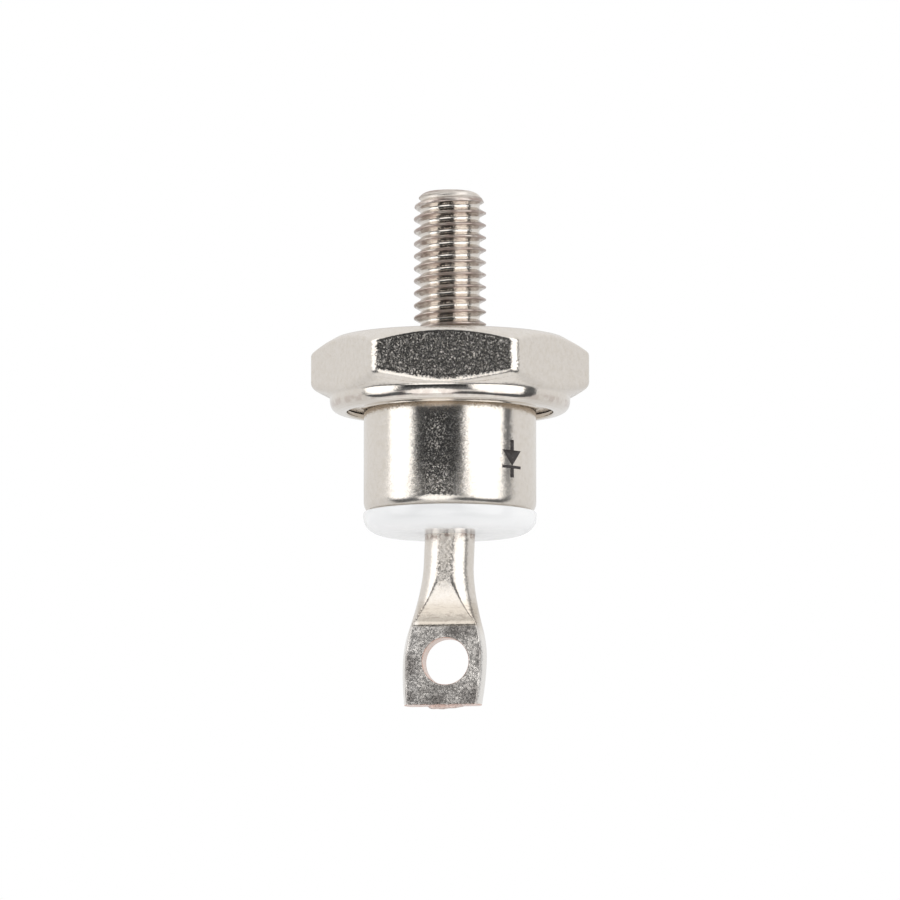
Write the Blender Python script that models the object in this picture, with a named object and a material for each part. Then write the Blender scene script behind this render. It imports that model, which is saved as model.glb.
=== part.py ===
"""Power rectifier diode in a stud case, at rest as it hangs from its stud.

The frame is in metres. Its origin is on the axis, in the plane where the hexagon
seats on a heat sink. +Z runs out along the stud, and the terminal points to -Z.
"""

import math

import bmesh
import bpy

# Stud and its thread
STUD_LENGTH = 0.01195
STUD_RADIUS = 0.0029
THREAD_PITCH = 0.001
THREAD_DEPTH = 0.00054
THREAD_CREST_SHARE = 0.125
THREAD_ROOT_SHARE = 0.25
THREAD_CREST_HEIGHT = 0.00125
STUD_TIP_RADIUS = 0.0017
STUD_TIP_HEIGHT = 0.0017
STUD_ROOT_DEPTH = 0.0008
SHANK_HEIGHT = 0.0004
SHANK_STEP = 0.00005

# Hexagon
HEX_ACROSS_FLATS = 0.0196
HEX_HEIGHT = 0.00475
HEX_CORNER_RADIUS = 0.0011
HEX_CHAMFER_INSET = 0.00055
HEX_LOW_CHAMFER_INSET = 0.0002
HEX_CHAMFER_ANGLE = math.radians(30)

# Can with its flange and turned-in rim
CAN_RADIUS = 0.0069
CAN_WALL = 0.00055
CAN_HEIGHT = 0.00935
CAN_FLANGE_WIDTH = 0.0018
CAN_FLANGE_FILLET = 0.0003
CAN_RIM_RADIUS = 0.00115
CAN_RIM_WIDTH = 0.0015

# Collar that is rolled over the can's flange, and the pedestal inside it
COLLAR_WALL = 0.0009
COLLAR_ROOT_DEPTH = 0.0003
COLLAR_CORNER_RADIUS = 0.0012
LIP_THICKNESS = 0.00043
LIP_OVERLAP = 0.00045
LIP_EDGE_RADIUS = 0.0001
RECESS_DEPTH = 0.0001
PEDESTAL_MARGIN = 0.00075
PEDESTAL_HEIGHT = 0.0018
PEDESTAL_CHAMFER = 0.0002

# White bead that closes the can, with the can's rim sunk into it
BEAD_STANDOUT = 0.00004
BEAD_HEIGHT = 0.00146
BEAD_BOTTOM_RADIUS = 0.0014
BEAD_TOP_CHAMFER = 0.0002
BEAD_SPIGOT_HEIGHT = 0.0009

# Terminal tube and its flattened lug
TUBE_RADIUS = 0.002
TUBE_WALL = 0.0008
TUBE_INSIDE = 0.0016
TUBE_STRAIGHT = 0.00254
TUBE_TO_FACET = 0.00344
TUBE_LEAN = math.radians(2.35)
FACET_LENGTH = 0.00384
FACET_TAPER = math.radians(9.5)
LUG_LENGTH = 0.00636
LUG_THICKNESS = 0.0019
LUG_ROOT_HALF_WIDTH = 0.0029
LUG_HALF_WIDTH = 0.00338
LUG_END_HALF_WIDTH = 0.00312
LUG_HOLE_RADIUS = 0.00187
LUG_HOLE_FROM_END = 0.00348
LUG_HOLE_OFFSET = 0.0002
LUG_TURN = math.radians(-7.5)

# Chip stack on the pedestal, from the base towards the lead
SOLDER_THICKNESS = 0.0001
BASE_DISC_MARGIN = 0.0006
BASE_DISC_THICKNESS = 0.0008
DIE_MARGIN = 0.0004
DIE_THICKNESS = 0.0003
DIE_BEVEL = 0.00025
LEAD_DISC_MARGIN = 0.0005
LEAD_DISC_THICKNESS = 0.0006
COATING_MARGIN = 0.0001
COATING_COVER = 0.0003
CUP_MARGIN = 0.0006
CUP_HEIGHT = 0.0016
CUP_SOCKET_DEPTH = 0.0011
CUP_CHAMFER = 0.0003

# Inner lead
LEAD_RADIUS = 0.00085
LEAD_BEND = 0.0004
LEAD_FREE_END = 0.0004

# Gap between pieces that seat on each other, small because the whole part is small
SEAT_GAP = 0.00003

# Fineness of the round surfaces
ROUND_SEGMENTS = 64
INNER_SEGMENTS = 36
THREAD_SEGMENTS = 36
ARC_STEPS = 4

# Places that follow from the sizes above
HEX_BOTTOM = -HEX_HEIGHT
FLANGE_TOP = HEX_BOTTOM - RECESS_DEPTH - SEAT_GAP
FLANGE_BOTTOM = FLANGE_TOP - CAN_WALL
FLANGE_RADIUS = CAN_RADIUS + CAN_FLANGE_WIDTH
RECESS_RADIUS = FLANGE_RADIUS + SEAT_GAP
RECESS_FLOOR = HEX_BOTTOM - RECESS_DEPTH
COLLAR_RADIUS = RECESS_RADIUS + COLLAR_WALL
LIP_TOP = FLANGE_BOTTOM - SEAT_GAP
COLLAR_BOTTOM = LIP_TOP - LIP_THICKNESS
LIP_RADIUS = FLANGE_RADIUS - LIP_OVERLAP
CAN_INNER_RADIUS = CAN_RADIUS - CAN_WALL
CAN_RIM = FLANGE_TOP - CAN_HEIGHT
RIM_OPENING = CAN_RADIUS - CAN_RIM_WIDTH
PEDESTAL_RADIUS = CAN_INNER_RADIUS - PEDESTAL_MARGIN
PEDESTAL_FACE = RECESS_FLOOR - PEDESTAL_HEIGHT
BEAD_RADIUS = CAN_RADIUS + BEAD_STANDOUT
BEAD_TOP = CAN_RIM - SEAT_GAP
BEAD_BOTTOM = BEAD_TOP - BEAD_HEIGHT
SPIGOT_RADIUS = RIM_OPENING - SEAT_GAP
SPIGOT_TOP = BEAD_TOP + BEAD_SPIGOT_HEIGHT
BEAD_BORE = TUBE_RADIUS + SEAT_GAP
TUBE_TOP = CAN_RIM + TUBE_INSIDE
FLARE_START = BEAD_BOTTOM - TUBE_STRAIGHT
FACET_START = BEAD_BOTTOM - TUBE_TO_FACET
LUG_START = FACET_START - FACET_LENGTH
LUG_END = LUG_START - LUG_LENGTH
LUG_HOLE_HEIGHT = LUG_END + LUG_HOLE_FROM_END
BASE_DISC_RADIUS = PEDESTAL_RADIUS - BASE_DISC_MARGIN
DIE_RADIUS = BASE_DISC_RADIUS - DIE_MARGIN
LEAD_DISC_RADIUS = DIE_RADIUS - DIE_BEVEL - LEAD_DISC_MARGIN
CUP_RADIUS = LEAD_DISC_RADIUS - CUP_MARGIN


def clear_scene():
    for obj in list(bpy.data.objects):
        bpy.data.objects.remove(obj, do_unlink=True)


def material(name, colour, roughness, metallic=0.0):
    made = bpy.data.materials.new(name)
    made.use_nodes = True
    shader = made.node_tree.nodes["Principled BSDF"]
    shader.inputs["Base Color"].default_value = (*colour, 1.0)
    shader.inputs["Roughness"].default_value = roughness
    shader.inputs["Metallic"].default_value = metallic
    return made


def add_object(name, bm, surface=None):
    """Puts a closed bmesh into the scene, with its faces out and its round parts smooth."""
    bmesh.ops.recalc_face_normals(bm, faces=bm.faces[:])
    mesh = bpy.data.meshes.new(name)
    bm.to_mesh(mesh)
    bm.free()
    mesh.shade_smooth()
    mesh.set_sharp_from_angle(angle=math.radians(35))
    if surface is not None:
        mesh.materials.append(surface)
    obj = bpy.data.objects.new(name, mesh)
    bpy.context.scene.collection.objects.link(obj)
    return obj


def combine(obj, operation, tool):
    """Joins, cuts or trims obj by a hidden guide object."""
    tool.hide_render = True
    tool.display_type = "WIRE"
    modifier = obj.modifiers.new(tool.name, "BOOLEAN")
    modifier.operation = operation
    modifier.solver = "EXACT"
    modifier.object = tool
    return obj


def arc(centre, radius, start, end, steps=ARC_STEPS):
    """Points of a round stretch of an outline, from one angle in degrees to another."""
    points = []
    for step in range(steps + 1):
        angle = math.radians(start + (end - start) * step / steps)
        points.append((centre[0] + radius * math.cos(angle), centre[1] + radius * math.sin(angle)))
    return points


def bridge(bm, first, second, closed=True):
    """Quads between two rows of vertices of the same length."""
    count = len(first)
    for i in range(count if closed else count - 1):
        j = (i + 1) % count
        bm.faces.new((first[i], first[j], second[j], second[i]))


def turned(name, outline, surface=None, segments=ROUND_SEGMENTS):
    """Revolves an outline of (radius, z) points. It runs from axis to axis, or closes on itself."""
    bm = bmesh.new()
    rings = []
    for radius, z in outline:
        if radius == 0.0:
            rings.append([bm.verts.new((0.0, 0.0, z))])
            continue
        ring = []
        for i in range(segments):
            angle = 2 * math.pi * i / segments
            ring.append(bm.verts.new((radius * math.cos(angle), radius * math.sin(angle), z)))
        rings.append(ring)
    pairs = list(zip(rings, rings[1:]))
    if len(rings[0]) > 1:
        pairs.append((rings[-1], rings[0]))
    for upper, lower in pairs:
        if len(upper) == 1 or len(lower) == 1:
            pole, ring = (upper[0], lower) if len(upper) == 1 else (lower[0], upper)
            for i in range(segments):
                bm.faces.new((pole, ring[i], ring[(i + 1) % segments]))
        else:
            bridge(bm, upper, lower)
    return add_object(name, bm, surface)


def leant(z):
    """How far along X the terminal's middle lies at a height. It is straight in the bead."""
    return -math.tan(TUBE_LEAN) * max(BEAD_BOTTOM - z, 0.0)


def lofted(name, sections, surface=None, segments=ROUND_SEGMENTS):
    """Skins a stack of ellipses along the terminal's middle line, each given as
    (z, half width along X, half depth along Y)."""
    bm = bmesh.new()
    rings = []
    for z, half_width, half_depth in sections:
        ring = []
        for i in range(segments):
            angle = 2 * math.pi * i / segments
            x = leant(z) + half_width * math.cos(angle)
            ring.append(bm.verts.new((x, half_depth * math.sin(angle), z)))
        rings.append(ring)
    for upper, lower in zip(rings, rings[1:]):
        bridge(bm, upper, lower)
    bm.faces.new(rings[0])
    bm.faces.new(rings[-1])
    return add_object(name, bm, surface)


def extruded(name, outline, direction, surface=None):
    """Extrudes a closed outline of points by a vector."""
    bm = bmesh.new()
    face = bm.faces.new([bm.verts.new(point) for point in outline])
    grown = bmesh.ops.extrude_face_region(bm, geom=[face])
    moved = [item for item in grown["geom"] if isinstance(item, bmesh.types.BMVert)]
    bmesh.ops.translate(bm, verts=moved, vec=direction)
    return add_object(name, bm, surface)


def thread_profile():
    """One pitch of the thread, as (radius, height) points of root, flank, crest and flank."""
    root_radius = STUD_RADIUS - THREAD_DEPTH
    crest = THREAD_CREST_SHARE * THREAD_PITCH / 2
    root = THREAD_ROOT_SHARE * THREAD_PITCH / 2
    return [
        (STUD_RADIUS, -crest),
        (STUD_RADIUS, crest),
        (root_radius, THREAD_PITCH / 2 - root),
        (root_radius, THREAD_PITCH / 2 + root),
    ]


def thread_guide():
    """A right-hand helical ridge on a core, longer than the stud at both ends.

    Its rows of vertices follow the helix, so each turn's last column meets the next
    turn's first one, and the two ends close on the axis.
    """
    profile = thread_profile()
    turns = math.ceil((STUD_LENGTH + STUD_ROOT_DEPTH) / THREAD_PITCH) + 4
    base = THREAD_CREST_HEIGHT - THREAD_PITCH * (math.ceil(STUD_ROOT_DEPTH / THREAD_PITCH) + 3)
    bm = bmesh.new()
    columns = []
    for i in range(THREAD_SEGMENTS):
        angle = 2 * math.pi * i / THREAD_SEGMENTS
        column = []
        for turn in range(turns):
            for radius, height in profile:
                z = base + THREAD_PITCH * (turn + i / THREAD_SEGMENTS) + height
                column.append(bm.verts.new((radius * math.cos(angle), radius * math.sin(angle), z)))
        columns.append(column)
    for left, right in zip(columns, columns[1:]):
        bridge(bm, left, right, closed=False)
    rows = len(profile)
    first, last = columns[0], columns[-1]
    bridge(bm, last[: len(last) - rows], first[rows:], closed=False)
    low_rim = [column[0] for column in columns] + first[rows:0:-1]
    high_rim = [column[-1] for column in columns] + last[-2 : -rows - 2 : -1]
    for rim, z in ((low_rim, base - THREAD_PITCH), (high_rim, base + THREAD_PITCH * (turns + 1))):
        pole = bm.verts.new((0.0, 0.0, z))
        for i, vertex in enumerate(rim):
            bm.faces.new((pole, vertex, rim[(i + 1) % len(rim)]))
    return add_object("thread_guide", bm)


def stud_blank_guide():
    """The turned rod that the thread is cut on, with its rounded tip."""
    outside = STUD_RADIUS * 1.1
    tip_base = STUD_LENGTH - STUD_TIP_HEIGHT
    outline = [(0.0, -STUD_ROOT_DEPTH), (outside, -STUD_ROOT_DEPTH), (outside, tip_base)]
    spread = STUD_RADIUS - STUD_TIP_RADIUS
    for step in range(ARC_STEPS + 1):
        angle = math.pi / 2 * step / ARC_STEPS
        outline.append(
            (STUD_TIP_RADIUS + spread * math.cos(angle), tip_base + STUD_TIP_HEIGHT * math.sin(angle))
        )
    outline.append((0.0, STUD_LENGTH))
    return turned("stud_blank_guide", outline)


def hexagon(surface):
    """The hexagon with rounded corners, two of its flats facing -Y and +Y."""
    corner_reach = (HEX_ACROSS_FLATS / 2 - HEX_CORNER_RADIUS) / math.cos(math.radians(30))
    outline = []
    for corner in range(6):
        angle = 60 * corner
        centre = (
            corner_reach * math.cos(math.radians(angle)),
            corner_reach * math.sin(math.radians(angle)),
        )
        outline += arc(centre, HEX_CORNER_RADIUS, angle - 30, angle + 30)
    points = [(x, y, HEX_BOTTOM) for x, y in outline]
    return extruded("stud_base", points, (0.0, 0.0, HEX_HEIGHT), surface)


def hex_chamfer_guide():
    """A double cone that leaves the 30 degree chamfers on both ends of the hexagon."""
    slope = math.tan(HEX_CHAMFER_ANGLE)
    seat = HEX_ACROSS_FLATS / 2 - HEX_CHAMFER_INSET
    low_seat = HEX_ACROSS_FLATS / 2 - HEX_LOW_CHAMFER_INSET
    outside = HEX_ACROSS_FLATS * 0.6
    clear = HEX_HEIGHT * 0.1
    outline = [
        (0.0, clear),
        (seat - clear / slope, clear),
        (outside, (seat - outside) * slope),
        (outside, HEX_BOTTOM + (outside - low_seat) * slope),
        (low_seat - clear / slope, HEX_BOTTOM - clear),
        (0.0, HEX_BOTTOM - clear),
    ]
    return turned("hex_chamfer_guide", outline)


def core_guide():
    """The turned core: the plain shank that the thread runs out on, then under the hexagon
    the collar with its rolled lip, the recess for the can's flange, and the pedestal."""
    corner = COLLAR_CORNER_RADIUS
    shank = STUD_RADIUS + SHANK_STEP
    collar_top = HEX_BOTTOM + COLLAR_ROOT_DEPTH
    outline = [(0.0, SHANK_HEIGHT), (shank, SHANK_HEIGHT), (shank, collar_top)]
    outline.append((COLLAR_RADIUS, collar_top))
    outline += arc((COLLAR_RADIUS - corner, COLLAR_BOTTOM + corner), corner, 0, -90)
    edge = LIP_EDGE_RADIUS
    outline += arc((LIP_RADIUS + edge, COLLAR_BOTTOM + edge), edge, -90, -180, 2)
    outline += [
        (LIP_RADIUS, LIP_TOP),
        (RECESS_RADIUS, LIP_TOP),
        (RECESS_RADIUS, RECESS_FLOOR),
        (PEDESTAL_RADIUS, RECESS_FLOOR),
        (PEDESTAL_RADIUS, PEDESTAL_FACE + PEDESTAL_CHAMFER),
        (PEDESTAL_RADIUS - PEDESTAL_CHAMFER, PEDESTAL_FACE),
        (0.0, PEDESTAL_FACE),
    ]
    return turned("core_guide", outline)


def stud_base(surface):
    thread = combine(thread_guide(), "INTERSECT", stud_blank_guide())
    base = combine(hexagon(surface), "INTERSECT", hex_chamfer_guide())
    combine(base, "UNION", core_guide())
    combine(base, "UNION", thread)


def can_shell(surface):
    """The drawn can: one sheet from the flange's edge to the turned-in rim."""
    fillet = CAN_FLANGE_FILLET
    inner_fillet = fillet + CAN_WALL
    inner_rim = CAN_RIM_RADIUS - CAN_WALL
    rim_centre = CAN_RADIUS - CAN_RIM_RADIUS
    outline = [(FLANGE_RADIUS, FLANGE_TOP), (FLANGE_RADIUS, FLANGE_BOTTOM)]
    outline += arc((CAN_RADIUS + fillet, FLANGE_BOTTOM - fillet), fillet, 90, 180)
    outline += arc((rim_centre, CAN_RIM + CAN_RIM_RADIUS), CAN_RIM_RADIUS, 0, -90)
    outline += [(RIM_OPENING, CAN_RIM), (RIM_OPENING, CAN_RIM + CAN_WALL)]
    outline += arc((rim_centre, CAN_RIM + CAN_RIM_RADIUS), inner_rim, -90, 0, 2)
    outline += arc((CAN_INNER_RADIUS + inner_fillet, FLANGE_TOP - inner_fillet), inner_fillet, 180, 90)
    turned("can_shell", outline, surface)


def insulator_bead(surface):
    """The bead, with a dished seat for the can's rim, a spigot in it, and the terminal's bore."""
    radius = BEAD_BOTTOM_RADIUS
    outline = [(BEAD_BORE, BEAD_BOTTOM)]
    outline += arc((BEAD_RADIUS - radius, BEAD_BOTTOM + radius), radius, -90, 0, 6)
    rim_centre = (CAN_RADIUS - CAN_RIM_RADIUS, CAN_RIM + CAN_RIM_RADIUS)
    dish = arc(rim_centre, CAN_RIM_RADIUS + SEAT_GAP, -45, -90, ARC_STEPS // 2)
    outline += [
        (BEAD_RADIUS, dish[0][1] - BEAD_TOP_CHAMFER),
        *dish,
        (SPIGOT_RADIUS, BEAD_TOP),
        (SPIGOT_RADIUS, SPIGOT_TOP),
        (BEAD_BORE, SPIGOT_TOP),
    ]
    turned("insulator_bead", outline, surface)


def tube_half_width(z):
    """Half the terminal's width: a round tube that spreads into the lug and narrows at its end."""
    if z >= FLARE_START:
        return TUBE_RADIUS
    if z >= LUG_START:
        share = (FLARE_START - z) / (FLARE_START - LUG_START)
        return TUBE_RADIUS + (LUG_ROOT_HALF_WIDTH - TUBE_RADIUS) * share**1.6
    if z >= LUG_HOLE_HEIGHT:
        share = (z - LUG_HOLE_HEIGHT) / (LUG_START - LUG_HOLE_HEIGHT)
        return LUG_HALF_WIDTH + (LUG_ROOT_HALF_WIDTH - LUG_HALF_WIDTH) * share**2
    share = (LUG_HOLE_HEIGHT - z) / LUG_HOLE_FROM_END
    return LUG_HALF_WIDTH + (LUG_END_HALF_WIDTH - LUG_HALF_WIDTH) * share**2


def facet_depth(z):
    """Half the terminal's thickness on its pressed faces: a straight taper that steepens
    towards the lug."""
    share = min(max((FACET_START - z) / FACET_LENGTH, 0.0), 1.0)
    taper = FACET_LENGTH * math.tan(FACET_TAPER)
    bend = TUBE_RADIUS - LUG_THICKNESS / 2 - taper
    return TUBE_RADIUS - taper * share - bend * share**4


def stations(start, end, steps):
    return [start + (end - start) * step / steps for step in range(steps + 1)]


def press_guide(name, side):
    """The die that presses one face of the tube, from the facet's point to past the lug's end."""
    steps = 10
    beyond = TUBE_RADIUS * 2
    past_end = LUG_END - LUG_THICKNESS
    width = LUG_HALF_WIDTH * 2
    outline = [(facet_depth(z), z) for z in stations(FACET_START, LUG_START, steps)]
    outline += [(LUG_THICKNESS / 2, past_end), (beyond, past_end), (beyond, FACET_START)]
    points = [(-width, side * depth, z) for depth, z in outline]
    return extruded(name, points, (2 * width, 0.0, 0.0))


def bore_guide():
    """The tube's bore, which narrows to a slit and ends where the walls are pressed together."""
    bore = TUBE_RADIUS - TUBE_WALL
    slit = TUBE_WALL * 0.1
    sections = [(TUBE_TOP + TUBE_RADIUS, bore, bore), (BEAD_BOTTOM, bore, bore)]
    for z in stations(FACET_START, LUG_START, 6):
        depth = max(facet_depth(z) - TUBE_WALL, slit)
        sections.append((z, tube_half_width(z) - TUBE_WALL, depth))
    return lofted("bore_guide", sections, segments=INNER_SEGMENTS)


def lug_hole_guide():
    reach = TUBE_RADIUS * 2
    centre = (leant(LUG_HOLE_HEIGHT) + LUG_HOLE_OFFSET, LUG_HOLE_HEIGHT)
    circle = arc(centre, LUG_HOLE_RADIUS, 0, 360, 48)[:-1]
    points = [(x, -reach, z) for x, z in circle]
    return extruded("lug_hole_guide", points, (0.0, 2 * reach, 0.0))


def terminal_tube(surface):
    heights = [TUBE_TOP, BEAD_BOTTOM]
    heights += stations(FLARE_START, LUG_START, 6)
    heights += stations(LUG_START, LUG_HOLE_HEIGHT, 4)[1:]
    heights += stations(LUG_HOLE_HEIGHT, LUG_END, 4)[1:]
    sections = [(z, tube_half_width(z), TUBE_RADIUS) for z in heights]
    tube = lofted("terminal_tube", sections, surface)
    guides = [press_guide("front_press_guide", -1), press_guide("back_press_guide", 1)]
    guides += [bore_guide(), lug_hole_guide()]
    for guide in guides:
        combine(tube, "DIFFERENCE", guide)
        guide.rotation_euler.z = LUG_TURN
    tube.rotation_euler.z = LUG_TURN


def disc(name, top, radius, thickness, surface, bevel=0.0):
    """A plain disc under a given height. A bevel narrows its lower face. Gives its lower height."""
    bottom = top - thickness
    outline = [(0.0, top), (radius, top), (radius - bevel, bottom), (0.0, bottom)]
    turned(name, outline, surface, INNER_SEGMENTS)
    return bottom


def junction_coating(top, surface):
    """The rubber ring round the die's edge, over the rim of the die's lower face."""
    die_face = top - DIE_THICKNESS - SEAT_GAP
    bottom = die_face - COATING_COVER
    outer = BASE_DISC_RADIUS - COATING_MARGIN
    inner = LEAD_DISC_RADIUS + SEAT_GAP
    die = DIE_RADIUS + SEAT_GAP
    outline = [(die, top), (outer, top), (outer, die_face)]
    outline += [(inner + COATING_COVER, bottom), (inner, bottom), (inner, die_face)]
    outline += [(die - DIE_BEVEL, die_face)]
    turned("junction_coating", outline, surface, INNER_SEGMENTS)


def contact_cup(top, surface):
    bottom = top - CUP_HEIGHT
    socket = LEAD_RADIUS + SEAT_GAP
    socket_top = bottom + CUP_SOCKET_DEPTH
    outline = [
        (0.0, top),
        (CUP_RADIUS, top),
        (CUP_RADIUS, bottom + CUP_CHAMFER),
        (CUP_RADIUS - CUP_CHAMFER, bottom),
        (socket, bottom),
        (socket, socket_top),
        (0.0, socket_top),
    ]
    turned("contact_cup", outline, surface, INNER_SEGMENTS)
    return bottom, socket_top


def inner_lead(cup_bottom, socket_top, surface):
    """The lead, straight in the cup and in the tube, with one bend between them for slack."""
    start = socket_top - SEAT_GAP
    end = FACET_START + LEAD_FREE_END
    heights = [start] + stations(cup_bottom, TUBE_TOP, 12) + [end]
    curve = bpy.data.curves.new("inner_lead", "CURVE")
    curve.dimensions = "3D"
    curve.bevel_depth = LEAD_RADIUS
    curve.bevel_resolution = 3
    curve.use_fill_caps = True
    curve.materials.append(surface)
    spline = curve.splines.new("POLY")
    spline.points.add(len(heights) - 1)
    for point, z in zip(spline.points, heights):
        share = min(max((cup_bottom - z) / (cup_bottom - TUBE_TOP), 0.0), 1.0)
        point.co = (leant(z) + LEAD_BEND * math.sin(math.pi * share) ** 2, 0.0, z, 1.0)
    lead = bpy.data.objects.new("inner_lead", curve)
    bpy.context.scene.collection.objects.link(lead)


def chip_stack(surfaces):
    """The pieces between the pedestal and the lead, each seated on the one before."""
    top = PEDESTAL_FACE - SEAT_GAP
    face = disc("base_solder", top, BASE_DISC_RADIUS - DIE_BEVEL, SOLDER_THICKNESS, surfaces["solder"])
    top = face - SEAT_GAP
    face = disc("base_moly_disc", top, BASE_DISC_RADIUS, BASE_DISC_THICKNESS, surfaces["moly"])
    top = face - SEAT_GAP
    junction_coating(top, surfaces["coating"])
    face = disc("silicon_die", top, DIE_RADIUS, DIE_THICKNESS, surfaces["silicon"], DIE_BEVEL)
    top = face - SEAT_GAP
    face = disc("lead_moly_disc", top, LEAD_DISC_RADIUS, LEAD_DISC_THICKNESS, surfaces["moly"])
    top = face - SEAT_GAP
    face = disc("lead_solder", top, CUP_RADIUS, SOLDER_THICKNESS, surfaces["solder"])
    cup_bottom, socket_top = contact_cup(face - SEAT_GAP, surfaces["copper"])
    inner_lead(cup_bottom, socket_top, surfaces["copper"])


def main():
    clear_scene()
    nickel = material("nickel_on_copper", (0.72, 0.69, 0.65), 0.28, 1.0)
    can_nickel = material("nickel_on_steel", (0.76, 0.74, 0.70), 0.22, 1.0)
    bead_white = material("white_glaze", (0.84, 0.85, 0.86), 0.12)
    inner = {
        "solder": material("solder", (0.55, 0.55, 0.57), 0.45, 1.0),
        "moly": material("molybdenum", (0.42, 0.42, 0.44), 0.4, 1.0),
        "silicon": material("silicon", (0.16, 0.17, 0.2), 0.2, 0.4),
        "coating": material("silicone_rubber", (0.75, 0.72, 0.68), 0.6),
        "copper": material("copper", (0.8, 0.42, 0.27), 0.35, 1.0),
    }
    stud_base(nickel)
    can_shell(can_nickel)
    insulator_bead(bead_white)
    terminal_tube(nickel)
    chip_stack(inner)


main()
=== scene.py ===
"""Looks of a power rectifier diode in a stud case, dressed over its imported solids."""

import math

import bmesh
import bpy
import numpy as np
from mathutils import Matrix, Vector


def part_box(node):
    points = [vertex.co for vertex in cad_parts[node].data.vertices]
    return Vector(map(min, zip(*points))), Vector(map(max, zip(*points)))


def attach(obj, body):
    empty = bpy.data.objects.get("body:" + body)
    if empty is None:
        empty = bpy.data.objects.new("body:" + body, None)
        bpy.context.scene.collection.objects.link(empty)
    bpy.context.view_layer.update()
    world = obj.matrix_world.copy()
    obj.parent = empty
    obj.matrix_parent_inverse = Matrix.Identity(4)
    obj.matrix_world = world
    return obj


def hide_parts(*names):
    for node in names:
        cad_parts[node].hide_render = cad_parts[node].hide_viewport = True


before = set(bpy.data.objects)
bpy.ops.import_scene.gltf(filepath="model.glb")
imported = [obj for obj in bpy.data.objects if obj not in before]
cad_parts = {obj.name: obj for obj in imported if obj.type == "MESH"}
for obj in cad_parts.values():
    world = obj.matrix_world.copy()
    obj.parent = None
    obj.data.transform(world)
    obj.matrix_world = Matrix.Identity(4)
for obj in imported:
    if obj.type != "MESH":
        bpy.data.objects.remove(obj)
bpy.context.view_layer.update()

MM = 0.001

# Places read from the frame
BASE_LOW, BASE_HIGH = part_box("stud_base")
CAN_LOW, CAN_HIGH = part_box("can_shell")
BEAD_LOW, BEAD_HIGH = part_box("insulator_bead")
TUBE_LOW, TUBE_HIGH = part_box("terminal_tube")
STUD_LENGTH = BASE_HIGH.z
ACROSS_FLATS = BASE_HIGH.y - BASE_LOW.y
PEDESTAL_FACE = BASE_LOW.z
FLANGE_RADIUS = CAN_HIGH.x
FLANGE_TOP = CAN_HIGH.z
CAN_RIM = CAN_LOW.z
BEAD_RADIUS = BEAD_HIGH.x
BEAD_BOTTOM = BEAD_LOW.z
SPIGOT_TOP = BEAD_HIGH.z
TUBE_TOP = TUBE_HIGH.z
LUG_END = TUBE_LOW.z

# Stud and its thread
STUD_RADIUS = 2.9 * MM
THREAD_PITCH = 1.0 * MM
THREAD_DEPTH = 0.54 * MM
THREAD_CREST_HEIGHT = 1.25 * MM
THREAD_ANGLE = math.radians(60)
CREST_EDGE_RADIUS = 0.05 * MM
ROOT_RADIUS = 0.24 * MM
TIP_RADIUS = 1.7 * MM
TIP_HEIGHT = 1.7 * MM
STUD_ROOT_DEPTH = 0.8 * MM
SHANK_RADIUS = 2.95 * MM
SHANK_HEIGHT = 0.4 * MM

# Hexagon, collar and pedestal
HEX_HEIGHT = 4.75 * MM
HEX_CORNER_RADIUS = 1.1 * MM
CHAMFER_INSET = 0.55 * MM
LOW_CHAMFER_INSET = 0.53 * MM
CHAMFER_SLOPE = math.tan(math.radians(30))
LOW_CHAMFER_SLOPE = math.tan(math.radians(25.5))
SEAT_EDGE_RADIUS = 0.1 * MM
HEX_TOP_EDGE_RADIUS = 0.4 * MM
HEX_LOW_EDGE_RADIUS = 0.7 * MM
GAP = 0.03 * MM
CAN_WALL = 0.55 * MM
RECESS_DEPTH = 0.1 * MM
RECESS_RADIUS = FLANGE_RADIUS + GAP
COLLAR_RADIUS = RECESS_RADIUS + 0.9 * MM
LIP_TOP = FLANGE_TOP - CAN_WALL - GAP
LIP_THICKNESS = 0.43 * MM
COLLAR_BOTTOM = LIP_TOP - LIP_THICKNESS
COLLAR_SQUARENESS = 0.66
COLLAR_HEIGHT = 1.27 * MM
LIP_RADIUS = FLANGE_RADIUS - 0.45 * MM
LIP_EDGE_RADIUS = 0.12 * MM
CAN_RADIUS = 6.9 * MM
PEDESTAL_RADIUS = CAN_RADIUS - CAN_WALL - 0.75 * MM

# Can and bead
CAN_FLANGE_FILLET = 0.3 * MM
CAN_RIM_RADIUS = 1.15 * MM
RIM_OPENING = CAN_RADIUS - 1.5 * MM
BEAD_TOP = CAN_RIM - GAP

# Terminal
TUBE_RADIUS = 2.0 * MM
TUBE_WALL = 0.8 * MM
FLARE_START = BEAD_BOTTOM - 2.54 * MM
FACET_START = BEAD_BOTTOM - 3.44 * MM
FACET_LENGTH = 3.84 * MM
FACET_TAPER = math.tan(math.radians(9.5))
LUG_START = FACET_START - FACET_LENGTH
LUG_THICKNESS = 1.9 * MM
LUG_ROOT_HALF_WIDTH = 2.9 * MM
LUG_HALF_WIDTH = 3.38 * MM
LUG_END_HALF_WIDTH = 3.12 * MM
PRESS_LINE_REACH = 0.2 * MM
FACET_RUN = FACET_LENGTH - PRESS_LINE_REACH
FACET_DROP = FACET_RUN * FACET_TAPER
FACET_BEND = TUBE_RADIUS - LUG_THICKNESS / 2 - FACET_DROP
LUG_HOLE_RADIUS = 1.87 * MM
LUG_HOLE_FROM_END = 3.48 * MM
LUG_HOLE_OFFSET = 0.2 * MM
LUG_HOLE_HEIGHT = LUG_END + LUG_HOLE_FROM_END
LUG_TURN = math.radians(-7.5)
TUBE_LEAN = math.tan(math.radians(2.35))

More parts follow.
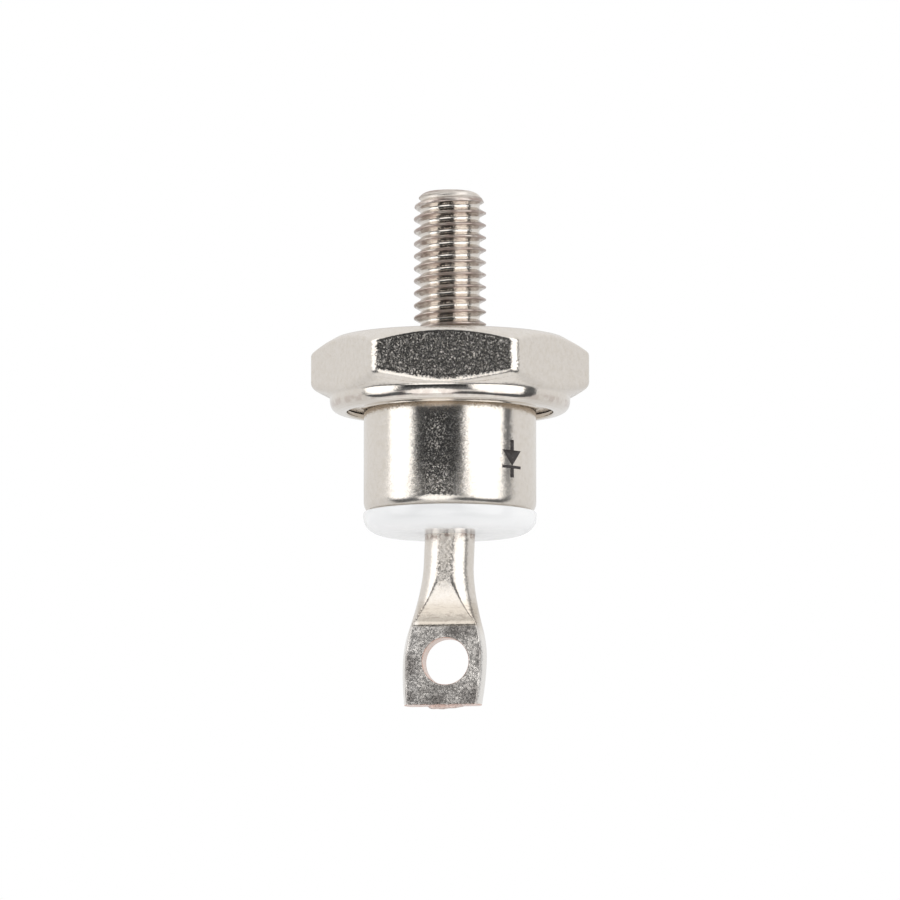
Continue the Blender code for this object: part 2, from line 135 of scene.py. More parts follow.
# Painted dark reflections on the lug: middle (across, up) and reach (across, up) from the hole's axis, in
# millimetres
LUG_DARK_REFLECTIONS = (
    (1.3, 2.35, 1.5, 0.8),
    (-3.0, -0.4, 1.0, 1.2),
    (-0.7, -3.2, 1.3, 0.6),
    (2.1, -2.6, 0.9, 0.9),
    (-3.1, -2.9, 0.8, 0.8),
    (2.95, 0.3, 0.5, 1.3),
)

# Printed polarity sign: an arrow and a bar that point at the terminal
SIGN_AZIMUTH = math.radians(48.1)
SIGN_HEIGHT = -10.1 * MM
SIGN_RAISE = 0.004 * MM
SIGN_INK = 0.006 * MM

# Camera: the photograph's frame is 900 pixels, at 12.5 pixels a millimetre on the axis
CAMERA_DISTANCE = 0.65
CAMERA_ELEVATION = math.radians(-6.5)
CAMERA_AZIMUTH = math.radians(2.45)
FRAME_WIDTH = 72.0 * MM
FRAME_CENTRE = Vector((0.0, 0.0, -0.00886))
SENSOR = 36.0

FLOOR_HEIGHT = -0.12
FLOOR_SIZE = 6.0


def add_mesh(name, vertices, faces, surface, merge=0.0):
    """A piece with smooth shading, its coincident points merged and its faces turned out."""
    mesh = bpy.data.meshes.new(name)
    mesh.from_pydata(vertices, [], faces)
    bm = bmesh.new()
    bm.from_mesh(mesh)
    if merge:
        bmesh.ops.remove_doubles(bm, verts=bm.verts[:], dist=merge)
        bmesh.ops.dissolve_degenerate(bm, edges=bm.edges[:], dist=merge)
    bmesh.ops.recalc_face_normals(bm, faces=bm.faces[:])
    bm.to_mesh(mesh)
    bm.free()
    mesh.shade_smooth()
    mesh.materials.append(surface)
    obj = bpy.data.objects.new(name, mesh)
    bpy.context.scene.collection.objects.link(obj)
    return obj


def grid_faces(rows, columns, wrap_rows, wrap_columns, shift=0):
    """Quads of a grid whose point (row, column) has index row * columns + column.

    Where the rows wrap, the last row meets the first one shifted by some columns.
    """
    faces = []
    for row in range(rows if wrap_rows else rows - 1):
        after = (row + 1) % rows
        slide = shift if row == rows - 1 else 0
        for column in range(columns if wrap_columns else columns - 1):
            beside = (column + 1) % columns
            if beside + slide >= columns and slide:
                break
            faces.append(
                (
                    row * columns + column,
                    after * columns + column + slide,
                    after * columns + beside + slide,
                    row * columns + beside,
                )
            )
    return faces


def rounded(corners, side_share=0.45):
    """An outline whose corners, given as (radius, z, fillet, steps), are rounded off.

    Every fillet gives steps + 1 points, so outlines with the same corners can be joined.
    A fillet takes at most the given share of each side that it joins.
    """
    points = []
    last = len(corners) - 1
    for index, (x, y, fillet, steps) in enumerate(corners):
        here = np.array((x, y))
        if fillet == 0.0 or index in (0, last):
            points.append(here)
            continue
        before = np.array(corners[index - 1][:2]) - here
        after = np.array(corners[index + 1][:2]) - here
        length_before, length_after = np.linalg.norm(before), np.linalg.norm(after)
        before, after = before / length_before, after / length_after
        half = math.acos(max(-1.0, min(1.0, float(before @ after)))) / 2
        reach = fillet / math.tan(half)
        start = here + before * min(reach, side_share * length_before)
        end = here + after * min(reach, side_share * length_after)
        for step in range(steps + 1):
            share = step / steps
            # A rational quadratic with this middle weight is the exact arc
            weight = math.sin(half)
            a, b, c = (1 - share) ** 2, 2 * weight * share * (1 - share), share**2
            points.append((a * start + b * here + c * end) / (a + b + c))
    return points


def turned(name, outline, surface, segments=192, closed=False, wobble=None):
    """Revolves an outline of (radius, z) points. Points on the axis merge into one."""
    vertices = []
    for i in range(segments):
        angle = 2 * math.pi * i / segments
        c, s = math.cos(angle), math.sin(angle)
        for radius, z in outline:
            grown = radius + (wobble(angle, z) if wobble and radius > 0 else 0.0)
            vertices.append((grown * c, grown * s, z))
    faces = grid_faces(segments, len(outline), True, closed)
    return add_mesh(name, vertices, faces, surface, merge=1e-7)


def soft_weights(piece):
    """Keeps large flat faces flat under smooth shading."""
    modifier = piece.modifiers.new("weighted_normals", "WEIGHTED_NORMAL")
    modifier.mode = "FACE_AREA"
    modifier.weight = 60
    modifier.keep_sharp = True
    return piece


# Node helpers


class Shader:
    """A material's node tree with short calls to add and link nodes."""

    def __init__(self, name, colour, roughness, metallic=0.0):
        self.material = bpy.data.materials.new(name)
        self.material.use_nodes = True
        self.tree = self.material.node_tree
        self.surface = self.tree.nodes["Principled BSDF"]
        self.surface.inputs["Base Color"].default_value = (*colour, 1.0)
        self.surface.inputs["Roughness"].default_value = roughness
        self.surface.inputs["Metallic"].default_value = metallic
        self.place = self.node("ShaderNodeTexCoord").outputs["Object"]

    def node(self, kind, **settings):
        made = self.tree.nodes.new(kind)
        for key, value in settings.items():
            setattr(made, key, value)
        return made

    def feed(self, socket, value):
        if isinstance(value, bpy.types.NodeSocket):
            self.tree.links.new(value, socket)
        elif isinstance(value, tuple) and len(value) == 3 and socket.type == "RGBA":
            socket.default_value = (*value, 1.0)
        else:
            socket.default_value = value

    def math(self, operation, *values):
        made = self.node("ShaderNodeMath", operation=operation)
        for socket, value in zip(made.inputs, values):
            self.feed(socket, value)
        return made.outputs[0]

    def vector(self, operation, *values):
        made = self.node("ShaderNodeVectorMath", operation=operation)
        for socket, value in zip(made.inputs, values):
            self.feed(socket, value)
        return made.outputs["Value" if operation in ("LENGTH", "DISTANCE", "DOT_PRODUCT") else "Vector"]

    def noise(self, size, detail=2.0, roughness=0.5, stretch=(1.0, 1.0, 1.0)):
        """Noise whose features are about this size in metres."""
        mapping = self.node("ShaderNodeMapping")
        self.feed(mapping.inputs["Vector"], self.place)
        self.feed(mapping.inputs["Scale"], stretch)
        made = self.node("ShaderNodeTexNoise")
        self.feed(made.inputs["Vector"], mapping.outputs[0])
        self.feed(made.inputs["Scale"], 1.0 / size)
        self.feed(made.inputs["Detail"], detail)
        self.feed(made.inputs["Roughness"], roughness)
        return made.outputs["Fac"]

    def cells(self, size, smoothness=1.0):
        made = self.node("ShaderNodeTexVoronoi", feature="SMOOTH_F1")
        self.feed(made.inputs["Vector"], self.place)
        self.feed(made.inputs["Scale"], 1.0 / size)
        self.feed(made.inputs["Smoothness"], smoothness)
        return made.outputs["Distance"]

    def ramp(self, value, low, high, out_low=0.0, out_high=1.0, smooth=True):
        made = self.node("ShaderNodeMapRange")
        made.interpolation_type = "SMOOTHSTEP" if smooth else "LINEAR"
        for socket, given in zip(made.inputs, (value, low, high, out_low, out_high)):
            self.feed(socket, given)
        return made.outputs[0]

    def mix(self, share, first, second):
        made = self.node("ShaderNodeMix", data_type="RGBA")
        self.feed(made.inputs[0], share)
        self.feed(made.inputs[6], first)
        self.feed(made.inputs[7], second)
        return made.outputs[2]

    def bump(self, height, depth, before=None):
        """Relief of a height from 0 to 1, with its depth in metres."""
        made = self.node("ShaderNodeBump")
        self.feed(made.inputs["Strength"], 1.0)
        self.feed(made.inputs["Distance"], depth)
        self.feed(made.inputs["Height"], height)
        if before is not None:
            self.feed(made.inputs["Normal"], before)
        return made.outputs[0]

    def grains(self, size, tilt, before, axes=(1.0, 1.0, 1.0)):
        """Tilts the surface by a random amount in each grain, up to half the given slope."""
        cells = self.node("ShaderNodeTexVoronoi", feature="F1")
        self.feed(cells.inputs["Vector"], self.place)
        self.feed(cells.inputs["Scale"], 1.0 / size)
        lean = self.vector("SUBTRACT", cells.outputs["Color"], (0.5, 0.5, 0.5))
        lean = self.vector("MULTIPLY", lean, axes)
        scaled = self.node("ShaderNodeVectorMath", operation="SCALE")
        self.feed(scaled.inputs[0], lean)
        self.feed(scaled.inputs["Scale"], tilt)
        lean = scaled.outputs["Vector"]
        return self.vector("NORMALIZE", self.vector("ADD", before, lean))

    def colour(self, value):
        self.feed(self.surface.inputs["Base Color"], value)

    def roughness(self, value):
        self.feed(self.surface.inputs["Roughness"], value)

    def normal(self, value):
        self.feed(self.surface.inputs["Normal"], value)

    def axis(self, letter):
        made = self.node("ShaderNodeSeparateXYZ")
        self.feed(made.inputs[0], self.place)
        return made.outputs[letter]

    def radius(self):
        """Distance from the object's axis."""
        flat = self.vector("MULTIPLY", self.place, (1.0, 1.0, 0.0))
        return self.vector("LENGTH", flat)


NICKEL = (0.80, 0.75, 0.695)
NICKEL_WARM = (0.73, 0.67, 0.59)
NICKEL_BEIGE = (0.60, 0.535, 0.45)
NICKEL_BROWN = (0.30, 0.22, 0.19)
COPPER_TINT = (0.49, 0.39, 0.35)
# Painted shade on the thread's crests and flanks
THREAD_FLANK_SHADE = (0.64, 0.59, 0.54)
SEAT_DARK = (0.40, 0.37, 0.335)
SEAT_PALE = (0.60, 0.56, 0.515)
LUG_GREY = (0.86, 0.83, 0.80)
# Painted highlight on the lug's narrow sides
LUG_SIDE_HIGHLIGHT = (0.97, 0.95, 0.92)
# Painted shade in the facets' creases, painted dark reflections and streak marks on the lug
DARK_SHADE_AND_MARKS = (0.14, 0.12, 0.11)
COPPER_CUT = (0.80, 0.52, 0.42)
COPPER_BURR = (0.84, 0.69, 0.63)
ROOM_TINT = (0.94, 0.985, 1.045)
GRAIN = 0.1 * MM


def plate(shader, tilt, grain=GRAIN, axes=(1.0, 1.0, 1.0)):
    """Nickel plating: a faint warm mottling under grains that each tilt their own way and sparkle."""
    mottle = shader.noise(0.45 * MM, 4.0, 0.7)
    shade = shader.mix(shader.ramp(mottle, 0.35, 0.75, 0.0, 0.7), NICKEL, NICKEL_WARM)
    relief = shader.bump(shader.noise(0.7 * MM, 1.0), 0.006 * MM)
    relief = shader.grains(grain, tilt, relief, axes)
    shader.normal(relief)
    shader.colour(shade)
    return shade, relief


def base_nickel():
    collar_side = -HEX_HEIGHT + 0.15 * MM
    shader = Shader("nickel_hexagon", NICKEL, 0.22, 1.0)
    height = shader.axis("Z")
    # Upright faces are grainy, the turned chamfers and the edges beside them are smoother
    slant = shader.node("ShaderNodeSeparateXYZ")
    shader.feed(slant.inputs[0], shader.node("ShaderNodeNewGeometry").outputs["Normal"])
    slant = shader.math("ABSOLUTE", slant.outputs["Z"])
    upright = shader.ramp(slant, 0.06, 0.22, 1.0, 0.35)
    tilt = shader.ramp(height, -HEX_HEIGHT, collar_side, 0.03, 0.225)
    shade, relief = plate(shader, shader.math("MULTIPLY", tilt, upright))
    # The seat that bolts to a heatsink is turned flat and dull, with fine rings round the stud
    seat = shader.ramp(shader.axis("Z"), -0.06 * MM, -0.01 * MM)
    rings = shader.node("ShaderNodeTexNoise", noise_dimensions="1D")
    shader.feed(rings.inputs["W"], shader.math("DIVIDE", shader.radius(), 0.12 * MM))
    seat_shade = shader.mix(rings.outputs["Fac"], SEAT_DARK, SEAT_PALE)
    shade = shader.mix(seat, shade, seat_shade)
    smooth = shader.ramp(shader.axis("Z"), -HEX_HEIGHT, collar_side, 0.11, 0.22)
    shader.roughness(shader.math("ADD", smooth, shader.math("MULTIPLY", seat, 0.2)))
    # Painted shade on the rolled lip's underside, darker and beige at its inner edge in the recess where it meets
    # the can
    edge = shader.ramp(shader.radius(), LIP_RADIUS + 0.25 * MM, LIP_RADIUS + 0.02 * MM)
    below = shader.ramp(shader.axis("Z"), COLLAR_BOTTOM + 0.5 * MM, COLLAR_BOTTOM + 0.3 * MM)
    lip_shade = shader.math("MULTIPLY", shader.math("MULTIPLY", edge, below), 0.7)
    shade = shader.mix(lip_shade, shade, NICKEL_BEIGE)
    # Copper shows through in patches low on the collar's side
    low = shader.ramp(height, COLLAR_BOTTOM + 0.9 * MM, COLLAR_BOTTOM + 0.65 * MM)
    lip = shader.ramp(height, COLLAR_BOTTOM + 0.2 * MM, COLLAR_BOTTOM + 0.4 * MM)
    patches = shader.ramp(shader.noise(0.8 * MM, 2.0), 0.38, 0.6, 0.0, 0.4)
    rubbed = shader.math("MULTIPLY", shader.math("MULTIPLY", low, lip), patches)
    shader.colour(shader.mix(rubbed, shade, COPPER_TINT))
    return shader.material


def thread_nickel():
    """Thin plating on the thread: dull at the crests with copper showing through, and painted shade: beige over
    the crests and flanks with brown lines along them, the roots left bright.
    """
    shader = Shader("nickel_thread", NICKEL, 0.2, 1.0)
    shade, relief = plate(shader, 0.1)
    x, y = shader.axis("X"), shader.axis("Y")
    turn = shader.math("DIVIDE", shader.math("ARCTAN2", y, x), 2 * math.pi)
    climb = shader.math("SUBTRACT", shader.axis("Z"), THREAD_CREST_HEIGHT)
    phase = shader.math("SUBTRACT", shader.math("DIVIDE", climb, THREAD_PITCH), turn)
    ragged = shader.noise(0.5 * MM, 3.0)
    wander = shader.math("MULTIPLY", shader.math("SUBTRACT", ragged, 0.5), 0.06)
    phase = shader.math("FRACT", shader.math("ADD", shader.math("ADD", phase, wander), 0.5))
    from_crest = shader.math("ABSOLUTE", shader.math("SUBTRACT", phase, 0.5))
    patches = shader.ramp(shader.noise(0.6 * MM, 3.0), 0.36, 0.6, 0.3, 1.0)
    # The flat end has no thread on it
    patches = shader.math("MULTIPLY", patches, shader.ramp(shader.radius(), TIP_RADIUS, TIP_RADIUS + 0.3 * MM))
    # Lines that the rolling has left along the thread
    rolled = shader.ramp(shader.noise(0.13 * MM, 2.0, 0.6, (0.09, 0.09, 1.0)), 0.4, 0.62)
    flank = shader.ramp(from_crest, 0.36, 0.28, 0.0, 0.9)
    # Painted shade: the crests and flanks are darkened to beige, only the roots stay bright
    shade = shader.mix(shader.math("MULTIPLY", flank, patches), shade, THREAD_FLANK_SHADE)
    brown = shader.math("MULTIPLY", shader.math("MULTIPLY", rolled, flank), 0.5)
    shade = shader.mix(brown, shade, NICKEL_BROWN)
    crest = shader.ramp(from_crest, 0.13, 0.07, 0.0, 0.9)
    shade = shader.mix(shader.math("MULTIPLY", crest, patches), shade, COPPER_TINT)
    # Painted shade: brown lines along both sides of each crest, at these distances from it and widths
    for place, width in ((0.125, 0.035), (0.24, 0.025)):
        away = shader.math("ABSOLUTE", shader.math("SUBTRACT", from_crest, place))
        strength = shader.ramp(shader.noise(0.4 * MM, 2.0), 0.35, 0.6, 0.1, 0.85)
        line = shader.math("MULTIPLY", shader.ramp(away, width, 0.0), strength)
        line = shader.math("MULTIPLY", line, patches)
        shade = shader.mix(line, shade, NICKEL_BROWN)
    tip = shader.ramp(shader.axis("Z"), STUD_LENGTH - 1.0 * MM, STUD_LENGTH - 0.6 * MM, 0.0, 0.3)
    shader.roughness(shader.math("ADD", shader.ramp(from_crest, 0.07, 0.2, 0.3, 0.14), tip))
    shader.colour(shade)
    return shader.material


def can_nickel():
    """The drawn can, rougher toward its rim, whose lowest edge is rubbed to a beige."""
    shader = Shader("nickel_can", NICKEL, 0.17, 1.0)
    height = shader.axis("Z")
    tilt = shader.ramp(height, CAN_RIM + 1.2 * MM, CAN_RIM + 3.6 * MM, 0.25, 0.19)
    below_flange = shader.ramp(height, FLANGE_TOP - 1.2 * MM, FLANGE_TOP - 2.2 * MM, 0.3, 1.0)
    above_rim = shader.ramp(height, CAN_RIM + 0.8 * MM, CAN_RIM + 1.3 * MM, 0.25, 1.0)
    tilt = shader.math("MULTIPLY", tilt, shader.math("MULTIPLY", below_flange, above_rim))
    shade, relief = plate(shader, tilt, 0.085 * MM, (0.22, 0.22, 1.0))
    duller = shader.ramp(height, CAN_RIM + 4.5 * MM, CAN_RIM + 1.3 * MM, 0.0, 0.09)
    shader.roughness(shader.math("ADD", shader.math("MULTIPLY", duller, above_rim), 0.17))
    low = shader.ramp(shader.axis("Z"), CAN_RIM + 0.45 * MM, CAN_RIM + 0.15 * MM, 0.0, 0.7)
    patches = shader.ramp(shader.noise(0.35 * MM, 3.0), 0.35, 0.6, 0.2, 1.0)
    shader.colour(shader.mix(shader.math("MULTIPLY", low, patches), shade, NICKEL_BEIGE))
    return shader.material


def terminal_nickel():
    """Plating on the pressed tube, with the hammered lug faces and bare copper at its cuts."""
    shader = Shader("nickel_terminal", NICKEL, 0.2, 1.0)
    shade, relief = plate(shader, 0.08)
    turned_place = shader.node("ShaderNodeVectorRotate", rotation_type="Z_AXIS")
    shader.feed(turned_place.inputs["Vector"], shader.place)
    shader.feed(turned_place.inputs["Angle"], -LUG_TURN)
    parts = shader.node("ShaderNodeSeparateXYZ")
    shader.feed(parts.inputs[0], turned_place.outputs[0])
    across, depth, height = parts.outputs
    # The tube is scuffed along the middle of both faces, above the facets
    middle = shader.math("MULTIPLY", shader.math("SUBTRACT", height, BEAD_BOTTOM), TUBE_LEAN)
    from_middle = shader.math("ABSOLUTE", shader.math("SUBTRACT", across, middle))
    ragged = shader.math("MULTIPLY", shader.math("SUBTRACT", shader.noise(0.3 * MM, 2.0), 0.5), 0.7 * MM)
    scuffed = shader.ramp(shader.math("ADD", from_middle, ragged), 0.75 * MM, 0.25 * MM)
    above_facet = shader.ramp(shader.math("ADD", height, ragged), FACET_START - 1.2 * MM, FACET_START + 0.3 * MM)
    scuffed = shader.math("MULTIPLY", scuffed, above_facet)
    scuff_tilt = shader.ramp(height, FACET_START, BEAD_BOTTOM - 0.5 * MM, 0.5, 0.9)
    relief = shader.grains(0.12 * MM, shader.math("MULTIPLY", scuffed, scuff_tilt), relief)
    # Distance from the axis of the screw hole
    lift = shader.math("SUBTRACT", height, LUG_HOLE_HEIGHT)
    aside = shader.math("SUBTRACT", across, leant(LUG_HOLE_HEIGHT) + LUG_HOLE_OFFSET)
    squares = shader.math("ADD", shader.math("MULTIPLY", aside, aside), shader.math("MULTIPLY", lift, lift))
    from_hole = shader.math("SQRT", squares)
    below_press = shader.ramp(height, LUG_START - 0.02 * MM, LUG_START - 0.12 * MM)
    flat_side = shader.ramp(
        shader.math("ABSOLUTE", depth), LUG_THICKNESS * 0.42, LUG_THICKNESS * 0.48
    )
    pressed = shader.math("MULTIPLY", below_press, flat_side)
    # Fine grain all over the lug, stronger to the left, with shallow dents and streaks low down
    lug_tilt = shader.ramp(across, 1.8 * MM, -1.8 * MM, 0.26, 0.33)
    patches = shader.ramp(shader.noise(1.2 * MM, 2.0), 0.38, 0.62, 0.7, 1.2)
    low = shader.ramp(height, LUG_END + 2.4 * MM, LUG_END + 1.0 * MM)
    calmer = shader.math("SUBTRACT", 1.0, shader.math("MULTIPLY", low, 0.3))
    patches = shader.math("MULTIPLY", patches, calmer)
    lug_tilt = shader.math("MULTIPLY", shader.math("MULTIPLY", lug_tilt, patches), pressed)
    waves = shader.math("MULTIPLY", shader.noise(1.7 * MM, 1.0), pressed)
    relief = shader.grains(0.1 * MM, lug_tilt, shader.bump(waves, 0.07 * MM, relief))
    dents = shader.noise(0.3 * MM, 2.0, 0.6, (0.4, 0.4, 1.2))
    streaks = shader.noise(0.2 * MM, 2.0, 0.6, (0.16, 0.16, 1.2))
    # Round beads that the press has raised to the right of the hole
    beads = shader.ramp(shader.cells(0.3 * MM, 0.3), 0.1, 0.5, 1.0, 0.0)
    right_of_hole = shader.ramp(aside, 0.4 * MM, 1.4 * MM)
    near_hole = shader.ramp(from_hole, LUG_HOLE_RADIUS + 1.6 * MM, LUG_HOLE_RADIUS + 1.1 * MM, 0.0, 1.8)
    beads = shader.math("MULTIPLY", beads, shader.math("MULTIPLY", right_of_hole, near_hole))
    hammered = shader.math("ADD", dents, shader.math("MULTIPLY", beads, 2.0))
    dented = shader.bump(shader.math("MULTIPLY", hammered, pressed), 0.014 * MM, relief)
    shader.normal(dented)
    dull = shader.math("ADD", shader.math("MULTIPLY", scuffed, 0.25), shader.math("MULTIPLY", pressed, 0.17))
    shader.roughness(shader.math("ADD", dull, 0.24))
    # The press has rubbed the lower half of the facets to a dull beige
    lower_facet = shader.ramp(height, LUG_START + 2.3 * MM, LUG_START + 1.2 * MM)
    facet_side = shader.ramp(shader.math("ABSOLUTE", across), 2.6 * MM, 2.2 * MM)
    rubbed = shader.math("MULTIPLY", shader.math("MULTIPLY", lower_facet, facet_side), 0.75)
    shade = shader.mix(rubbed, shade, NICKEL_BEIGE)
    scratches = shader.ramp(shader.noise(0.15 * MM, 2.0, 0.6, (0.2, 0.2, 1.0)), 0.5, 0.68, 0.0, 0.4)
    shade = shader.mix(shader.math("MULTIPLY", scratches, rubbed), shade, NICKEL_BROWN)
    # Painted shade: dark lines in the creases along both edges of the facets, short and broad on the left
    share = shader.math("DIVIDE", shader.math("SUBTRACT", FACET_START, height), FACET_RUN)
    inside = shader.math("MAXIMUM", shader.math("MINIMUM", share, 1.0), 0.0)
    bent = shader.math("MULTIPLY", shader.math("POWER", inside, 4.0), FACET_BEND)
    pressed_in = shader.math("ADD", shader.math("MULTIPLY", inside, FACET_DROP), bent)
    ratio = shader.math("SUBTRACT", 1.0, shader.math("DIVIDE", pressed_in, TUBE_RADIUS))
    spread = shader.math("SQRT", shader.math("SUBTRACT", 1.0, shader.math("MULTIPLY", ratio, ratio)))
    flare = shader.math("DIVIDE", shader.math("SUBTRACT", FLARE_START, height), FLARE_START - LUG_START)
    flare = shader.math("POWER", shader.math("MAXIMUM", flare, 0.0), 1.6)
    half = shader.math("ADD", shader.math("MULTIPLY", flare, LUG_ROOT_HALF_WIDTH - TUBE_RADIUS), TUBE_RADIUS)
    edge = shader.math("MULTIPLY", half, spread)
    wander = shader.math("MULTIPLY", shader.noise(0.35 * MM, 3.0, 0.6), 0.28 * MM)
    edge = shader.math("ADD", shader.math("SUBTRACT", edge, 0.14 * MM), wander)
    from_edge = shader.math("ABSOLUTE", shader.math("SUBTRACT", from_middle, edge))
    left = shader.ramp(across, middle, shader.math("SUBTRACT", middle, 0.2 * MM))
    crease = shader.ramp(from_edge, shader.ramp(left, 0.0, 1.0, 0.09 * MM, 0.22 * MM), 0.0)
    above_press = shader.math("SUBTRACT", 1.0, below_press)
    begin = shader.ramp(left, 0.0, 1.0, 0.05, 0.42)
    started = shader.ramp(shader.math("SUBTRACT", share, begin), 0.0, 0.15)
    crease = shader.math("MULTIPLY", shader.math("MULTIPLY", crease, above_press), started)
    crease = shader.math("MULTIPLY", crease, shader.ramp(shader.noise(0.16 * MM, 2.0), 0.38, 0.6, 0.1, 0.8))
    shade = shader.mix(crease, shade, DARK_SHADE_AND_MARKS)
    # Brown marks where the tube leaves the bead: flux stains and painted shade under the bead
    root = shader.ramp(height, BEAD_BOTTOM - 0.75 * MM, BEAD_BOTTOM - 0.1 * MM)
    stains_and_shade = shader.ramp(shader.noise(0.55 * MM, 3.0, 0.6), 0.42, 0.58, 0.0, 0.8)
    shade = shader.mix(shader.math("MULTIPLY", root, stains_and_shade), shade, NICKEL_BROWN)
    cut_hole = shader.ramp(from_hole, LUG_HOLE_RADIUS + 0.07 * MM, LUG_HOLE_RADIUS + 0.01 * MM)
    in_bore = shader.ramp(shader.math("ABSOLUTE", depth), LUG_THICKNESS * 0.4, LUG_THICKNESS * 0.46, 0.75, 1.0)
    cut_hole = shader.math("MULTIPLY", shader.math("MULTIPLY", cut_hole, below_press), in_bore)
    cut_end = shader.ramp(height, LUG_END + 0.07 * MM, LUG_END + 0.02 * MM)
    cut = shader.math("MAXIMUM", cut_hole, cut_end)
    patches = shader.ramp(shader.noise(0.4 * MM, 2.0), 0.3, 0.6, 0.35, 1.0)
    cut = shader.math("MULTIPLY", cut, patches)
    # Painted dark reflections: darker spots on the lug, middle (across, up) and reach (across, up) from the
    # hole's axis
    dark = 0.0
    for middle_across, middle_up, reach_across, reach_up in LUG_DARK_REFLECTIONS:
        off = shader.math("DIVIDE", shader.math("SUBTRACT", aside, middle_across * MM), reach_across * MM)
        up = shader.math("DIVIDE", shader.math("SUBTRACT", lift, middle_up * MM), reach_up * MM)
        squares = shader.math("ADD", shader.math("MULTIPLY", off, off), shader.math("MULTIPLY", up, up))
        dark = shader.math("MAXIMUM", dark, shader.ramp(squares, 1.6, 0.1))
    cloudy = shader.ramp(shader.noise(0.7 * MM, 2.0), 0.3, 0.6, 0.25, 0.65)
    dark = shader.math("MULTIPLY", dark, cloudy)
    # Low streak marks join the painted dark spots
    lines = shader.math("MULTIPLY", shader.ramp(streaks, 0.47, 0.6, 0.0, 0.45), low)
    dark = shader.math("MULTIPLY", shader.math("MAXIMUM", dark, lines), pressed)
    shade = shader.mix(shader.math("MULTIPLY", pressed, 0.7), shade, LUG_GREY)
    # Painted highlight: its narrow sides are made lighter
    beside_lug = shader.ramp(height, LUG_START + 0.4 * MM, LUG_START - 1.2 * MM)
    side = shader.math("SUBTRACT", 1.0, shader.math("MAXIMUM", flat_side, cut_hole))
    side = shader.math("MULTIPLY", beside_lug, side)
    shade = shader.mix(shader.math("MULTIPLY", side, 0.8), shade, LUG_SIDE_HIGHLIGHT)
    shader.colour(shader.mix(cut, shader.mix(dark, shade, DARK_SHADE_AND_MARKS), COPPER_CUT))
    return shader.material


def glaze():
    shader = Shader("glaze_white", (0.93, 0.935, 0.94), 0.14)
    cloud = shader.noise(2.5 * MM, 2.0)
    shader.colour(shader.mix(cloud, (0.93, 0.935, 0.94), (0.965, 0.965, 0.965)))
    shader.normal(shader.bump(shader.noise(1.6 * MM, 1.0), 0.03 * MM))
    shader.surface.inputs["Coat Weight"].default_value = 0.4
    shader.surface.inputs["Coat Roughness"].default_value = 0.06
    return shader.material


def ink():
    shader = Shader("ink_brown", (0.035, 0.028, 0.028), 0.55)
    thin = shader.ramp(shader.noise(0.12 * MM, 2.0), 0.6, 0.78, 0.0, 0.5)
    shader.colour(shader.mix(thin, (0.035, 0.028, 0.028), (0.25, 0.23, 0.22)))
    return shader.material


def bare_copper(name, colour=COPPER_CUT, roughness=0.35):
    shader = Shader(name, colour, roughness, 1.0)
    stain = shader.ramp(shader.noise(0.3 * MM, 3.0), 0.35, 0.7)
    shader.colour(shader.mix(stain, colour, tuple(0.7 * c for c in colour)))
    shader.normal(shader.bump(shader.noise(0.08 * MM, 2.0), 0.004 * MM))
    return shader.material


def inner_metal(name, colour, roughness, grain):
    """A lapped or cast metal inside the can."""
    shader = Shader(name, colour, roughness, 1.0)
    tone = shader.noise(grain * 6, 2.0)
    shader.colour(shader.mix(tone, colour, tuple(0.8 * c for c in colour)))
    shader.normal(shader.bump(shader.noise(grain, 2.0), grain * 0.05))
    return shader.material


def inner_rubber():
    shader = Shader("silicone_ring", (0.75, 0.72, 0.68), 0.6)
    shader.normal(shader.bump(shader.noise(0.3 * MM, 2.0), 0.02 * MM))
    shader.colour(shader.mix(shader.noise(0.8 * MM), (0.75, 0.72, 0.68), (0.68, 0.64, 0.6)))
    return shader.material


def inner_silicon():
    shader = Shader("silicon_wafer", (0.16, 0.17, 0.2), 0.18, 0.4)
    shader.colour(shader.mix(shader.noise(1.5 * MM), (0.14, 0.15, 0.18), (0.2, 0.21, 0.25)))
    shader.normal(shader.bump(shader.noise(0.05 * MM), 0.001 * MM))
    return shader.material


# Pieces


def thread_places():
    """Where the crest's edge, the flank and the root's curve of the thread meet, from the crest."""
    slope = math.tan(THREAD_ANGLE)
    arc = math.sin(THREAD_ANGLE)
    drop = 1 - math.cos(THREAD_ANGLE)
    flank = (THREAD_DEPTH - (CREST_EDGE_RADIUS + ROOT_RADIUS) * drop) / slope
    root_start = THREAD_PITCH / 2 - ROOT_RADIUS * arc
    flank_start = root_start - flank
    return flank_start - CREST_EDGE_RADIUS * arc, flank_start, root_start


def thread_radius(along):
    """Radius of the thread at a distance along the axis from the middle of a crest."""
    away = abs((along / THREAD_PITCH + 0.5) % 1.0 - 0.5) * THREAD_PITCH
    edge_start, flank_start, root_start = thread_places()
    drop = 1 - math.cos(THREAD_ANGLE)
    if away <= edge_start:
        return STUD_RADIUS
    if away <= flank_start:
        across = away - edge_start
        return STUD_RADIUS - CREST_EDGE_RADIUS + math.sqrt(CREST_EDGE_RADIUS**2 - across**2)
    if away <= root_start:
        fall = (away - flank_start) * math.tan(THREAD_ANGLE)
        return STUD_RADIUS - CREST_EDGE_RADIUS * drop - fall
    across = THREAD_PITCH / 2 - away
    return STUD_RADIUS - THREAD_DEPTH + ROOT_RADIUS - math.sqrt(ROOT_RADIUS**2 - across**2)


def thread_rows():
    """Distances from a crest, over one pitch, that its section needs points at."""
    edge_start, flank_start, root_start = thread_places()
    half = spaced(edge_start, flank_start, 3)
    half += spaced(flank_start, root_start, 3)
    half += spaced(root_start, THREAD_PITCH / 2, 6)
    return [-place for place in reversed(half)] + [0.0] + half + [THREAD_PITCH / 2]


